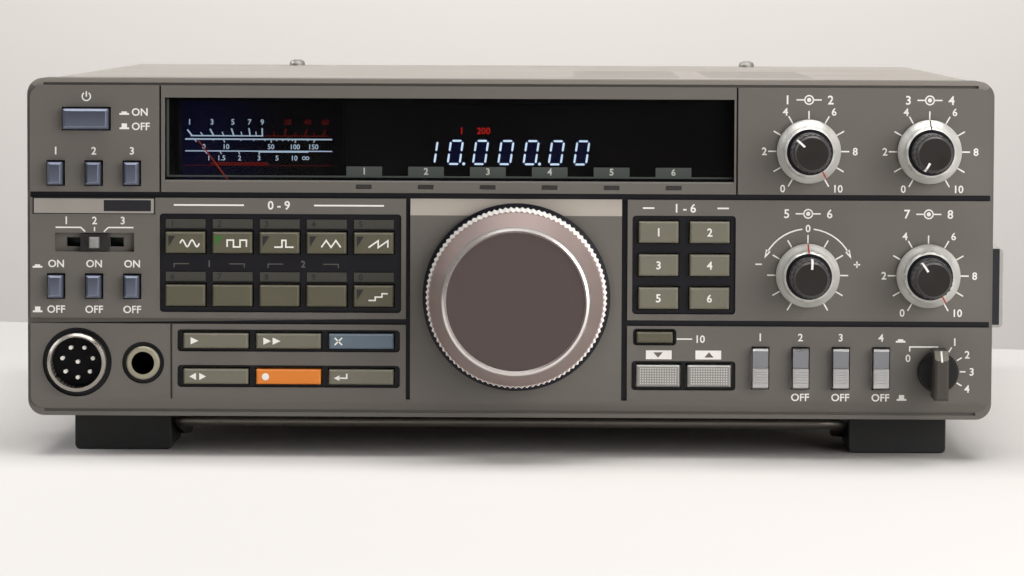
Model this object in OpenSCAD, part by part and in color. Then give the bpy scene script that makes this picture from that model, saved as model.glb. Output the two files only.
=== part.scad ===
// Desktop HF transceiver: moulded front panel with keys and knobs, two steel covers, rear heat sink.
// Lengths are in millimetres. X runs to the right, Y to the rear and Z up.
// The origin lies on the table under the middle of the whole radio.

/* [Case] */
// Width of the front panel
panel_w = 270; // [268:1:300]
// Height of the front panel
panel_h = 94.6; // [94:0.2:110]
// Depth of the front panel moulding
panel_d = 18; // [17:1:26]
// Radius of the panel's corners
panel_r = 4.5; // [3:0.5:8]
// Thickness of the panel's face plate
plate_t = 4; // [3.6:0.2:6]
// Thickness of the panel's side walls
panel_wall = 2.5; // [2:0.5:4]
// Length from the panel's face to the back of the heat sink
body_d = 312.5; // [300:2.5:340]
// Length of the two covers
cover_l = 257; // [240:1:270]
// Sheet thickness of the covers
cover_t = 1.2; // [1:0.1:2]
// Step in from the panel's edge to the covers
cover_step = 1; // [0.6:0.1:1.4]
// Height at which the two covers meet, above the panel's lower edge
split_z = 47.5; // [40:0.5:56]
// Height of the feet under the panel
foot_h = 11.3; // [10:0.1:20]
// How far the handle and the side feet stand out past the panel's edge
side_out = 5; // [4.5:0.5:12]

/* [Panel layout] */
// Width of the left section, keys and sockets
left_w = 106.1; // [105:0.1:112]
// Width of the right section, keys and small knobs
right_w = 102; // [101:0.1:108]
// Height of the lowest blocks' lower edge
low_z = 5; // [4.5:0.1:6]
// Height of the lowest blocks
low_h = 21; // [20.6:0.1:22]
// Height of the middle blocks
mid_h = 33.7; // [33.2:0.1:36]
// Width of the grooves between the blocks
groove_w = 1.6; // [1:0.1:2]
// Depth of the grooves
groove_d = 1.3; // [0.6:0.1:1.8]
// Depth of the pockets that the keys stand in
pocket_d = 1.2; // [0.6:0.1:1.8]
// Height of the sloped band above the tuning knob
slope_h = 4.6; // [2:0.2:5]

/* [Keys and buttons] */
// Width of a mode key
mode_w = 11.1; // [9:0.1:11.4]
// Height of a mode key
mode_h = 5.95; // [5:0.05:6.2]
// Distance between mode keys
mode_pitch = 13.17; // [13:0.01:13.4]
// Distance between the two rows of mode keys
mode_row = 14.8; // [14.4:0.1:15.2]
// Width of a memory key
memory_w = 18.1; // [16:0.1:18.4]
// Height of a memory key
memory_h = 4.2; // [3.6:0.1:4.6]
// Distance between memory keys
memory_pitch = 20.35; // [20:0.05:20.6]
// Distance between the two rows of memory keys
memory_row = 10; // [9.8:0.1:10.4]
// Width of a function key
function_w = 11.07; // [9:0.01:11.6]
// Height of a function key
function_h = 6; // [5:0.1:6.4]
// Distance between the columns of function keys
function_pitch = 14.25; // [13.8:0.05:14.6]
// Distance between the rows of function keys
function_row = 9.23; // [9:0.01:9.4]
// Width of the step key
step_w = 10.1; // [8:0.1:11]
// Height of the step key
step_h = 3; // [2.4:0.1:3.6]
// Width of a band key
band_w = 12.3; // [10:0.1:12.8]
// Height of a band key
band_h = 6.2; // [5:0.1:6.6]
// How far the keys stand out of the panel's face
key_out = 1.5; // [1:0.1:3]
// Chamfer around the front of a key
key_edge = 0.45; // [0.2:0.05:0.8]
// Travel of a key
key_travel = 1.5; // [1:0.1:2]
// Clearance around a key
key_gap = 0.35; // [0.3:0.05:0.5]
// Width of the power button
power_w = 12.8; // [10:0.1:14]
// Height of the power button
power_h = 5.7; // [5:0.1:7]
// Width of a small button
small_w = 4.25; // [3.5:0.05:5]
// Height of a small button
small_h = 6.3; // [5:0.1:7]
// Distance between small buttons
small_pitch = 10.65; // [10:0.05:11]
// Width of a push button of the lower row
push_w = 4.3; // [3.6:0.1:5]
// Height of a push button of the lower row
push_h = 11.1; // [10:0.1:12]
// Distance between the push buttons
push_pitch = 11.23; // [11:0.01:11.6]
// How far the buttons stand out of the panel's face
button_out = 3.2; // [2.5:0.1:5]
// Travel of a button
button_travel = 2.5; // [1.5:0.1:3]
// Clearance around a button
button_gap = 0.45; // [0.3:0.05:0.6]
// Width of the slide switch's block
slider_w = 8; // [6:0.5:9]
// Height of the slide switch's block
slider_h = 4.7; // [4:0.1:5]
// Travel of the slide switch to each side
slider_travel = 6.8; // [5:0.1:7]

/* [Knobs] */
// How far the tuning knob stands out of the panel's face
knob_out = 22.5; // [18:0.5:30]
// Radius of the tuning knob's knurled ring
knob_r = 25.3; // [22:0.1:26]
// Radius of the tuning knob's front rim
knob_rim_r = 20.7; // [18:0.1:21]
// Number of finger hollows around a ring knob
hollow_count = 10; // [6:1:12]
// Number of ridges around the tuning knob
knob_ridges = 100; // [60:2:140]
// Radius of a ring knob
ring_r = 8.9; // [8:0.1:10]
// How far a ring knob stands out
ring_out = 7; // [5:0.5:9]
// Radius of a centre knob
core_r = 5.4; // [5:0.1:5.8]
// How far a centre knob stands out
core_out = 20; // [15:0.5:24]
// Radius of the selector's round base
selector_r = 5.7; // [5:0.1:6.5]
// Width of the selector's grip bar
selector_w = 3.85; // [3:0.05:5]
// Length of the selector's grip bar
selector_l = 13.75; // [12:0.25:15]
// How far the selector stands out
selector_out = 16; // [12:0.5:18]
// Radius of the shafts that carry the knobs
shaft_r = 3; // [2.8:0.1:3.2]
// Radial clearance of a shaft in its bush
run_gap = 0.05; // [0.03:0.01:0.08]
// Distance from the panel's face to a knob's base
knob_gap = 0.8; // [0.4:0.1:1.5]

/* [Sockets] */
// Radius of the microphone socket's bright ring
mic_r = 8.2; // [8:0.1:9.6]
// Radius of the microphone socket's insert
mic_in_r = 7.1; // [6.5:0.1:7.4]
// Radius of the headphone jack's bore
jack_r = 3.2; // [3.2:0.05:3.3]
// Radius of the headphone jack's nut
jack_nut_r = 4.65; // [4.6:0.05:5.4]
// Radius of the aerial socket's threaded barrel
aerial_r = 7.9; // [7:0.1:8.2]
// Radius of the small rear jacks' bore
rear_jack_r = 1.8; // [1.8:0.05:2]
// Radius of the round rear sockets
round_r = 7.6; // [7:0.1:8]

/* [Back and under] */
// Width of the heat sink
sink_w = 150; // [120:1:160]
// Height of the heat sink
sink_h = 76; // [60:1:80]
// Thickness of a heat sink fin
fin_t = 2.4; // [1.6:0.1:3.5]
// Number of heat sink fins
fin_count = 17; // [10:1:20]
// Width of a front foot
foot_w = 27.6; // [24:0.2:30]
// Length of a front foot
foot_l = 30; // [24:1:40]
// Radius of the tilt bail's wire
bail_r = 1.6; // [1.2:0.1:2]
// Length of the tilt bail's legs
bail_l = 28.5; // [24:0.5:34]
// Width of the carrying handle
handle_h = 22.6; // [18:0.2:28]
// Length of the carrying handle
handle_l = 170; // [130:1:190]

/* [Hidden] */
$fn = 96;
fit_gap = 0.1;
free_gap = 0.3;

// Where the panel's face and the rear plate stand
face_y = (knob_out - body_d) / 2;
rear_y = panel_d + cover_l;

// How far each section is stretched from the layout that the key and button sizes are given for
plain_left = 106.1;
plain_middle = 61.9;
plain_right = 102;
panel_fit = panel_w / (plain_left + plain_middle + plain_right);
left_span = left_w * panel_fit;
right_span = right_w * panel_fit;
left_fit = left_span / plain_left;
right_fit = right_span / plain_right;
tune_fit = (panel_w - left_span - right_span) / plain_middle;

// Widths and pitches as stretched
mode_cap = mode_w * left_fit;
mode_step = mode_pitch * left_fit;
memory_cap = memory_w * left_fit;
memory_step = memory_pitch * left_fit;
power_cap = power_w * left_fit;
small_cap = small_w * left_fit;
small_step = small_pitch * left_fit;
function_cap = function_w * right_fit;
function_step = function_pitch * right_fit;
step_cap = step_w * right_fit;
band_cap = band_w * right_fit;
push_cap = push_w * right_fit;
push_step = push_pitch * right_fit;
tune_r = knob_r * tune_fit;
tune_rim_r = knob_rim_r * tune_fit;
knurl_y = knob_gap + 2;
knurl_l = knob_out - 10.8 - knurl_y;
knurl_step = 0.35;

// The slanted upper end of the selector's bar
tip_h = 2.6;
tip_y = 3.5;

// Panel edges
rim_set = 1.6;
rim_side = 0.9;
rim_edge = 2;
rim_line = 0.8;
left_x = -panel_w / 2;
right_x = panel_w / 2;
face_top = panel_h - rim_edge;
low_top = low_z + low_h;
mid_z = low_top + groove_w;
mid_top = mid_z + mid_h;
top_z = mid_top + groove_w;
left_end = left_x + left_span;
right_start = right_x - right_span;
tune_x0 = left_end + groove_w * 0.75;
tune_x1 = right_start - groove_w;

// Depths behind the face
flange_w = 0.6;
flange_t = 1;
flange_y = plate_t + free_gap;
key_end = flange_y + flange_t + 1.2;
switch_y = key_end + key_travel + free_gap;
button_end = flange_y + flange_t + 0.7;
board_y = max(switch_y + 1.7, button_end + button_travel + 1.2);
board_t = 1.6;
board_back = board_y + board_t;
boss_r = 1.8;
dial_y = board_back + 3.4;
sub_y = max(panel_d + 6, board_back + 11.9);
sub_t = 1.5;
sub_back = sub_y + sub_t;

// Places of the controls: X and height on the panel
power_at = [left_x + 16.75 * left_fit, panel_h - 11.3];
small_x = left_x + 18.8 * left_fit;
upper_z = panel_h - 26.5;
lower_z = mid_z + 8.85;
slider_at = [small_x + 0.15, mid_z + 21.15];
plate_at = [small_x, mid_top - 2.35];
mic_at = [left_x + 14 * left_fit, low_z + 10.1];
jack_at = [left_x + 32.5 * left_fit, low_z + 10];
mode_at = [left_end - 35.1 * left_fit, mid_z + 15.5];
memory_at = [left_end - 32.8 * left_fit, low_z + 11.36];
tune_at = [(left_end + right_start) / 2, low_z + 29.05];
function_at = [right_start + 15.75 * right_fit, mid_z + 15.5];
step_at = [right_start + 7.7 * right_fit, low_z + 17.9];
band_at = [right_start + 15.8 * right_fit, low_z + 7.1];
ring_x = [right_x - 51.7 * right_fit, right_x - 18.1 * right_fit];
ring_top_z = panel_h - 19.6;
ring_mid_z = mid_z + 12.8;
push_x = right_x - 47.95 * right_fit;
push_z = low_z + 9.4;
selector_at = [right_x - 15.3 * right_fit, low_z + 8.6];

function mode_key_at(i) = [
    mode_at[0] + (i % 5 - 2) * mode_step - 0.25,
    mode_at[1] + 5.75 - floor(i / 5) * mode_row
];
function memory_key_at(i) = [
    memory_at[0] + (i % 3 - 1) * memory_step,
    memory_at[1] + memory_row / 2 - floor(i / 3) * memory_row
];
function function_key_at(i) = [
    function_at[0] + (i % 2 - 0.5) * function_step,
    function_at[1] + (1 - floor(i / 2)) * function_row
];
function band_key_at(i) = [band_at[0] + (i - 0.5) * function_step, band_at[1]];
function small_at(i, z) = [small_x + (i - 1) * small_step, z];
function push_at(i) = [push_x + (i - 1.5) * push_step, push_z];
function ring_at(i) = [ring_x[i % 2], i < 2 ? ring_top_z : ring_mid_z];

// Pockets are a margin larger than the keys in them
pocket_edge = 1.9;
mode_pocket = [4 * mode_step + mode_cap + 2 * pocket_edge, mode_row + mode_h + 6.85];
memory_pocket = [2 * memory_step + memory_cap + 3.5, memory_h + 2];
function_pocket = [function_step + function_cap + 3.5, 2 * function_row + function_h + 3.1];
step_pocket = [step_cap + 2, step_h + 1.65];
band_pocket = [function_step + band_cap + 2.5, band_h + 2];
number_h = 2.55;
number_rise = 5.2;

// Display window, lamp strip and meter
window_x0 = left_x + 38.7 * left_fit;
window_x1 = right_x - 72.4 * right_fit;
window_stretch = (window_x1 - window_x0) / 158.9;
window_z0 = panel_h - 28.3;
window_z1 = panel_h - 5.3;
window_y = plate_t - 1;
window_fit = 0.15;
window_lip = 1.5;
window_foot = 0.8;
window_back = plate_t + 2;
sill_z = window_z0 - 0.4;
lamp_w = 4.15;
lamp_h = 1;
lamp_z = panel_h - 30;
lamp_pitch = 17.3 * window_stretch;
lamp_x = (window_x0 + window_x1) / 2 + 19.35 * window_stretch;
meter_x = left_x + 65 * left_fit;
meter_w = 48 * left_fit;
meter_top = panel_h - 5.1;
meter_bottom = meter_top - 42.5;
meter_deep = sub_back + 9;
needle_l = 31;
needle_angle = 37;
needle_tail = 3.2;
needle_tip = 0.15;
pivot_z = panel_h - 42.4;
pivot_r = 0.8;
pivot_gap = 0.1;

// Covers and chassis
body_w = panel_w - 2 * cover_step;
body_top = panel_h - 0.3;
body_bottom = 0.3;
cover_r = 4;
side_t = 1.5;
side_x = panel_w / 2 - max(panel_wall, cover_step + cover_t) - fit_gap;
deck_z = split_z - 1.5;
deck_t = 1.5;
rear_t = 1.6;
chassis_z0 = body_bottom + cover_t + 3.5;
chassis_z1 = body_top - cover_t - 1.5;
grille_x = right_x - 82.5 * panel_fit;
grille_y = panel_d + 94;
speaker_r = 33;

// Radius of a finger hollow of a ring knob
hollow_r = 2.4;

// Feet, bail and handle
foot_x = panel_w / 2 - 25;
foot_y = panel_d + 0.5;
bail_x = foot_x - foot_w / 2 - bail_r - 0.9;
bail_y = foot_y + foot_l - 6.5;
bail_z = -7.4;
bail_bar_z = -bail_r - 0.8;
bail_fold = asin((bail_bar_z - bail_z) / bail_l);
bend_r = 6;
handle_y = panel_d + 4;
handle_z = 24.4 + handle_h / 2;
cap_l = 24;
cap_r = 1.4;
strap_t = 3;

// Heat sink and rear sockets
sink_x = 50 * panel_fit;
sink_z = 48;
sink_base = 5;
aerial_at = [left_x + 27 * panel_fit, split_z + 25];
stud_at = [left_x + 74 * panel_fit, split_z + 36.5];
supply_at = [left_x + 31 * panel_fit, split_z - 17.5];
function round_at(i) = [left_x + (61 + i * 26) * panel_fit, split_z + 16.5];
function rear_jack_at(i) = [left_x + (57 + i * 18) * panel_fit, split_z - 29.5];

panel_colour = "#77726c";
key_colour = "#7d7c70";
button_colour = "#7d8088";
black = "#17171a";
chrome = "#c9c9cc";
steel = "#a9aaa8";

// From the panel's own frame, with its face at Y 0 and its lower edge at Z 0, to the radio's frame
module place() {
    translate([0, face_y, foot_h]) children();
}

module at(p) {
    translate([p[0], 0, p[1]]) children();
}

// A box between edges
module box(x0, x1, y0, y1, z0, z1) {
    translate([x0, y0, z0]) cube([x1 - x0, y1 - y0, z1 - z0]);
}

// A box centred on X and Z, from depth y0 to depth y1
module block(w, h, y0, y1) {
    box(-w / 2, w / 2, y0, y1, -h / 2, h / 2);
}

// An outline in X and Z, from depth y0 to depth y1
module slab(y0, y1) {
    translate([0, y1, 0]) rotate([90, 0, 0]) linear_extrude(y1 - y0) children();
}

// A round bar along Y
module rod(r, y0, y1) {
    translate([0, y1, 0]) rotate([90, 0, 0]) cylinder(r = r, h = y1 - y0);
}

// A profile of radius and distance out of the face, turned about a line along Y
module turned(points) {
    rotate([90, 0, 0]) rotate_extrude() polygon(points);
}

// A profile of depth and height, drawn from X x0 to x1
module beam(x0, x1, points) {
    translate([x0, 0, 0]) rotate([90, 0, 90]) linear_extrude(x1 - x0) polygon(points);
}

module round_rect(w, h, r) {
    square([w - 2 * r, h], center = true);
    square([w, h - 2 * r], center = true);
    for (sx = [-1, 1], sz = [-1, 1]) {
        translate([sx * (w / 2 - r), sz * (h / 2 - r)]) circle(r);
    }
}

// A slot with round ends, lying along X
module slot(l, w) {
    square([l - w, w], center = true);
    for (s = [-1, 1]) {
        translate([s * (l - w) / 2, 0]) circle(w / 2);
    }
}

function fluted(n, r, d) = [
    for (k = [0 : 2 * n - 1]) (k % 2 == 0 ? r : r - d) * [cos(180 * k / n), sin(180 * k / n)]
];

// Outline of a key's side: its back at depth end, its front chamfered
function key_side(w, out, edge, end) = [
    [-w / 2, end],
    [-w / 2, edge - out],
    [edge - w / 2, -out],
    [w / 2 - edge, -out],
    [w / 2, edge - out],
    [w / 2, end]
];

module key_cap(w, h, out, edge, end) {
    intersection() {
        linear_extrude(h + 1, center = true) polygon(key_side(w, out, edge, end));
        rotate([0, 90, 0]) linear_extrude(w + 1, center = true) polygon(key_side(h, out, edge, end));
    }
}

// A key with the flange that holds it behind the face plate
module key(w, h, out, end) {
    key_cap(w, h, out, key_edge, end);
    block(w + 2 * key_gap + 2 * flange_w, h + 2 * key_gap + 2 * flange_w, flange_y, flange_y + flange_t);
}

module key_hole(w, h, gap) {
    block(w + 2 * gap, h + 2 * gap, -1, plate_t + 1);
}

module pocket(size) {
    slab(-1, pocket_d) round_rect(size[0], size[1], 1);
}

// Where the boards behind the panel are screwed to its bosses
left_bosses = [
    [mode_key_at(0)[0], mode_at[1] + 12.9],
    [mode_key_at(4)[0], mode_at[1] + 12.9],
    [memory_key_at(0)[0] - 4, memory_at[1]],
    [memory_key_at(2)[0] + 4, memory_at[1]]
];
column_bosses = [
    [small_x - small_step, plate_at[1]],
    [small_x + small_step, plate_at[1]],
    [small_x, slider_at[1] - 5.75]
];
right_bosses = [
    [function_at[0], function_at[1] + 15.5],
    [band_key_at(1)[0], step_at[1] - 1.5],
    [step_at[0] - 3.5, (step_at[1] + function_key_at(4)[1]) / 2 - 0.5]
];
push_bosses = [
    [push_x - push_step, push_z],
    [push_x + push_step, push_z]
];

module bosses() {
    for (p = concat(left_bosses, column_bosses, right_bosses, push_bosses)) {
        at(p) rod(boss_r, plate_t - 0.5, board_y);
    }
}

module panel_blank() {
    translate([0, 0, panel_h / 2]) {
        difference() {
            union() {
                slab(rim_set, panel_d) round_rect(panel_w, panel_h, panel_r);
                slab(0, plate_t) {
                    round_rect(panel_w - 2 * rim_side, panel_h - 2 * rim_edge, panel_r - rim_side);
                }
            }
            slab(plate_t, panel_d + 1) {
                round_rect(
                    panel_w - 2 * panel_wall, panel_h - 2 * panel_wall, max(panel_r - panel_wall, 1)
                );
            }
        }
    }
}

// Lines that part the face into blocks, with the bevels along the lower edge and over the tuning knob
module panel_lines() {
    edge = panel_w / 2 + 1;
    line_x = panel_w / 2 - panel_r;
    line_in = left_end - 65.7 * left_fit;
    line_d = groove_d * 0.7;
    hair = 0.25;
    box(-edge, edge, -1, groove_d, mid_top, top_z);
    box(left_end, tune_x0, -1, groove_d, low_z, mid_top + 1);
    box(tune_x1, right_start, -1, groove_d, low_z, mid_top + 1);
    box(right_start - 1, edge, -1, groove_d, low_top, mid_z);
    box(-edge, left_end + 1, -1, groove_d, low_top, mid_z);
    box(line_in - 0.3, line_in + 0.3, -1, line_d, low_z, low_top + 1);
    for (x = [window_x0 - 1.3, window_x1 + 0.8]) {
        box(x - hair, x + hair, -1, line_d, mid_top + 0.2, face_top + 0.1);
    }
    box(-line_x, line_x, rim_set - 1, rim_set + 0.9, face_top, face_top + rim_line);
    box(-line_x, line_x, rim_set - 1, rim_set + 0.9, rim_edge - rim_line, rim_edge);
    beam(-edge, edge, [[-1, low_z], [0, low_z], [rim_set, rim_edge], [rim_set, 0], [-1, 0]]);
    beam(tune_x0, tune_x1, [
        [-1, mid_top - slope_h], [0, mid_top - slope_h],
        [groove_d, mid_top], [groove_d, mid_top + 0.5], [-1, mid_top + 0.5]
    ]);
}

module panel_pockets() {
    at(mode_at) pocket(mode_pocket);
    for (s = [-1, 1]) {
        at([memory_at[0], memory_at[1] + s * memory_row / 2]) pocket(memory_pocket);
    }
    at(function_at) pocket(function_pocket);
    at(step_at) pocket(step_pocket);
    at(band_at) pocket(band_pocket);
}

module panel_holes() {
    for (i = [0 : 9]) {
        at(mode_key_at(i)) key_hole(mode_cap, mode_h, key_gap);
    }
    for (i = [0 : 5]) {
        at(memory_key_at(i)) key_hole(memory_cap, memory_h, key_gap);
        at(function_key_at(i)) key_hole(function_cap, function_h, key_gap);
    }
    at(step_at) key_hole(step_cap, step_h, key_gap);
    for (i = [0, 1]) {
        at(band_key_at(i)) key_hole(band_cap, band_h, key_gap);
    }
    at(power_at) key_hole(power_cap, power_h, button_gap);
    for (i = [0 : 2]) {
        at(small_at(i, upper_z)) key_hole(small_cap, small_h, button_gap);
        at(small_at(i, lower_z)) key_hole(small_cap, small_h, button_gap);
    }
    for (i = [0 : 3]) {
        at(push_at(i)) key_hole(push_cap, push_h, button_gap);
        at(ring_at(i)) rod(shaft_r + free_gap, -1, plate_t + 1);
    }
    at(selector_at) rod(shaft_r + free_gap, -1, plate_t + 1);
    at(tune_at) rod(shaft_r + free_gap, -1, plate_t + 1);
}

module panel_sockets() {
    at(mic_at) rod(mic_r + 1.5, -1, 1.6);
    at(mic_at) rod(mic_in_r + 0.8, -1, plate_t + 1);
    at(jack_at) rod(jack_nut_r + 1.25, -1, 1);
    at(jack_at) rod(jack_r + 0.95, -1, plate_t + 1);
    at(slider_at) block(slider_w + 2 * slider_travel + 2 * free_gap, slider_h + 2 * free_gap, -1, 2);
    at(slider_at) block(2.4 + 2 * slider_travel, 2.6, -1, plate_t + 1);
}

module panel_window() {
    beam(window_x0, window_x1, [
        [-1, sill_z], [0, sill_z], [window_z0 - sill_z, window_z0],
        [plate_t + 1, window_z0], [plate_t + 1, window_z1], [-1, window_z1]
    ]);
    for (k = [0 : 5]) {
        at([lamp_x + (k - 2.5) * lamp_pitch, lamp_z]) {
            block(lamp_w + 2 * fit_gap, lamp_h + 2 * fit_gap, -1, plate_t + 1);
        }
    }
}

module front_panel() {
    color(panel_colour) place() {
        difference() {
            panel_blank();
            panel_lines();
            panel_pockets();
            panel_holes();
            panel_sockets();
            panel_window();
        }
        bosses();
        at(plate_at) block(33.5 * left_fit, 4.05, -0.4, 0.1);
        for (i = [0 : 9]) {
            at([mode_key_at(i)[0], mode_key_at(i)[1] + number_rise]) {
                block(mode_cap, number_h, pocket_d - 0.6, pocket_d + 0.1);
            }
        }
    }
}

// One half of the case's sheet wall, above or below the split
module cover_half(z0, z1) {
    slab(panel_d, rear_y) {
        intersection() {
            translate([0, (body_top + body_bottom) / 2]) {
                difference() {
                    round_rect(body_w, body_top - body_bottom, cover_r);
                    round_rect(
                        body_w - 2 * cover_t, body_top - body_bottom - 2 * cover_t, cover_r - cover_t
                    );
                }
            }
            translate([-panel_w, z0]) square([2 * panel_w, z1 - z0]);
        }
    }
}

module top_cover() {
    color("#b9b3aa") place() {
        difference() {
            cover_half(split_z, panel_h);
            translate([0, 0, body_top - cover_t - 1]) linear_extrude(cover_t + 2) {
                for (k = [0 : 10], s = [-1, 1]) {
                    translate([grille_x + s * 19.5, grille_y + (k - 5) * 10.6]) slot(32, 3.4);
                }
                for (k = [0 : 7]) {
                    translate([(k - 3.5) * 21.7, rear_y - 17]) slot(17.5, 3.4);
                }
            }
        }
    }
}

module bottom_cover() {
    color("#b9b3aa") place() {
        difference() {
            cover_half(0, split_z - free_gap);
            translate([0, 0, body_bottom - 1]) linear_extrude(cover_t + 2) {
                for (k = [0 : 6], s = [-1, 1]) {
                    translate([s * 40, panel_d + 120 + k * 12]) slot(50, 3.4);
                }
            }
        }
    }
}

module chassis() {
    color(steel) place() {
        difference() {
            box(-side_x, side_x, sub_y, sub_back, chassis_z0, chassis_z1);
            at([meter_x, (meter_top + meter_bottom) / 2]) {
                block(
                    meter_w + 2 * free_gap, meter_top - meter_bottom + 2 * free_gap, sub_y - 1, sub_back + 1
                );
            }
            for (i = [0 : 3]) {
                at(ring_at(i)) rod(shaft_r + 1.5 + fit_gap, sub_y - 1, sub_back + 1);
            }
            at(selector_at) rod(shaft_r + 1.5 + fit_gap, sub_y - 1, sub_back + 1);
            at(tune_at) rod(shaft_r + 2 + fit_gap, sub_y - 1, sub_back + 1);
        }
        for (s = [-1, 1]) {
            translate([s * (side_x - side_t / 2), 0, 0]) {
                box(-side_t / 2, side_t / 2, plate_t + 4, rear_y - rear_t, 8, panel_h - 8);
            }
        }
        box(-side_x, side_x, sub_y + 36, rear_y - rear_t, deck_z, deck_z + deck_t);
        rear_plate();
    }
}

module rear_plate() {
    plate_h = body_top - body_bottom - 2 * cover_t - 2 * fit_gap;
    difference() {
        translate([0, 0, (body_top + body_bottom) / 2]) slab(rear_y - rear_t, rear_y) {
            round_rect(body_w - 2 * cover_t - 2 * fit_gap, plate_h, cover_r - cover_t);
        }
        for (i = [0, 1]) {
            at(round_at(i)) rod(round_r + 0.6 + fit_gap, rear_y - rear_t - 1, rear_y + 1);
        }
        for (i = [0 : 2]) {
            at(rear_jack_at(i)) rod(rear_jack_r + 1.7 + fit_gap, rear_y - rear_t - 1, rear_y + 1);
        }
    }
}

module heat_sink() {
    color("#232325") place() translate([sink_x, 0, sink_z]) {
        block(sink_w, sink_h, rear_y, rear_y + sink_base);
        for (k = [0 : fin_count - 1]) {
            translate([(sink_w - fin_t) * (k / (fin_count - 1) - 0.5), 0, 0]) {
                block(fin_t, sink_h, rear_y + sink_base - 0.5, body_d);
            }
        }
    }
}

module display_window() {
    color("#101018") place() {
        box(
            window_x0 + window_fit, window_x1 - window_fit, window_y,
            plate_t + 0.1, window_z0 + window_fit, window_z1 - window_fit
        );
        box(
            window_x0 - window_lip, window_x1 + window_lip, plate_t,
            window_back, window_z0 - window_foot, window_z1 + window_lip
        );
    }
}

// Moving coil meter with its dial, shroud and pivot pin
module meter() {
    half = meter_w / 2;
    difference() {
        union() {
            box(meter_x - half, meter_x + half, board_back + 0.5, meter_deep, meter_bottom, meter_top);
            box(meter_x - half, meter_x + half, window_back, board_back + 1, window_z0 - 1.4, meter_top);
            box(
                meter_x - half - 2.5, meter_x + half + 2.5, sub_y - 1.5, sub_y,
                meter_bottom - 2.5, meter_top + 1
            );
        }
        box(
            meter_x - half + 1.2, meter_x + half - 1.2, window_back - 1, dial_y,
            window_z0 - 0.2, meter_top - 1.2
        );
        box(
            meter_x - half + 1.2, meter_x + half - 1.2, board_back, dial_y,
            meter_bottom + 1.2, meter_top - 1.2
        );
    }
    at([meter_x + 0.5, pivot_z]) rod(pivot_r, dial_y - 2.9, dial_y + 1);
}

// Lit tube and lamps on their board, held off the chassis by posts
module display_unit() {
    half = 2.5 * lamp_pitch + 8;
    mid = (window_z0 + window_z1) / 2 + 0.5;
    tube_x0 = lamp_x - 30 * window_stretch;
    tube_x1 = lamp_x + 46 * window_stretch;
    box(meter_x + meter_w / 2 - 2.75, lamp_x + half, board_y - 1.5, board_y, lamp_z - 2, window_z1);
    box(tube_x0, tube_x1, window_back + 0.4, board_y - 1, mid - 9, mid + 9);
    for (k = [0 : 5]) {
        at([lamp_x + (k - 2.5) * lamp_pitch, lamp_z]) block(lamp_w, lamp_h, 0.1, board_y - 1);
    }
    for (s = [-1, 1], t = [-1, 1]) {
        translate([lamp_x + s * (half - 4), 0, mid + t * 7]) rod(2.5, board_y - 0.5, sub_y);
    }
}

module meter_and_display() {
    color(black) place() {
        meter();
        display_unit();
    }
}

module meter_needle() {
    color("#d8543a") place() at([meter_x + 0.5, pivot_z]) {
        difference() {
            union() {
                rod(2.2, dial_y - 2.6, dial_y - free_gap);
                rotate([0, -needle_angle, 0]) {
                    translate([0, dial_y - 1.2, 0]) rotate([90, 0, 0]) linear_extrude(0.7) polygon([
                        [-0.3, -needle_tail], [0.3, -needle_tail], [0.3, 0],
                        [needle_tip, needle_l], [-needle_tip, needle_l], [-0.3, 0]
                    ]);
                }
            }
            rod(pivot_r + pivot_gap, dial_y - 4, dial_y);
        }
    }
}

// A potentiometer, encoder or rotary switch behind the chassis plate, with a bush for its shaft
module bushed(bush_r, front) {
    difference() {
        union() {
            children();
            rod(bush_r, front, sub_back + 1);
        }
        rod(shaft_r + run_gap, front - 1, sub_back + 8);
    }
}

module panel_board(x0, x1, z0, z1) {
    box(x0, x1, board_y, board_back, z0, z1);
}

module switch_at(p) {
    at(p) block(4, 2.4, switch_y, board_y + 0.5);
}

module push_switch_at(p, w, h) {
    at(p) block(w, h, board_back - 0.5, sub_y - 1.5);
}

module panel_boards() {
    board_end = mode_at[0] + mode_pocket[0] / 2;
    panel_board(mode_at[0] - mode_pocket[0] / 2, board_end, low_top, mode_at[1] + 15);
    panel_board(memory_at[0] - memory_pocket[0] / 2, board_end, low_z + 1, low_top + 1);
    for (i = [0 : 9]) {
        switch_at(mode_key_at(i));
    }
    for (i = [0 : 5]) {
        switch_at(memory_key_at(i));
        switch_at(function_key_at(i));
    }
    panel_board(small_x - small_step - 3.7, small_x + small_step + 3.7, mid_z + 3, panel_h - 6.5);
    push_switch_at(power_at, 16, 9);
    for (i = [0 : 2]) {
        push_switch_at(small_at(i, upper_z), 7, 9);
        push_switch_at(small_at(i, lower_z), 7, 9);
    }
    panel_board(function_at[0] - 15.3, function_at[0] + 15.3, low_z + 1, function_at[1] + 17.5);
    switch_at(step_at);
    for (i = [0, 1]) {
        switch_at(band_key_at(i));
    }
    panel_board(push_x - 22, push_x + 22, low_z + 1, push_z + 8);
    for (i = [0 : 3]) {
        push_switch_at(push_at(i), 8, 13);
    }
}

module pots() {
    for (i = [0 : 3]) {
        at(ring_at(i)) bushed(shaft_r + 1.5, sub_y - 7) rod(8.5, sub_back, sub_back + 17);
    }
    at(selector_at) bushed(shaft_r + 1.5, sub_y - 7) rod(7.5, sub_back, sub_back + 14);
    at(tune_at) bushed(shaft_r + 2, sub_y - 9) block(34, 34, sub_back, sub_back + 24);
}

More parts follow.
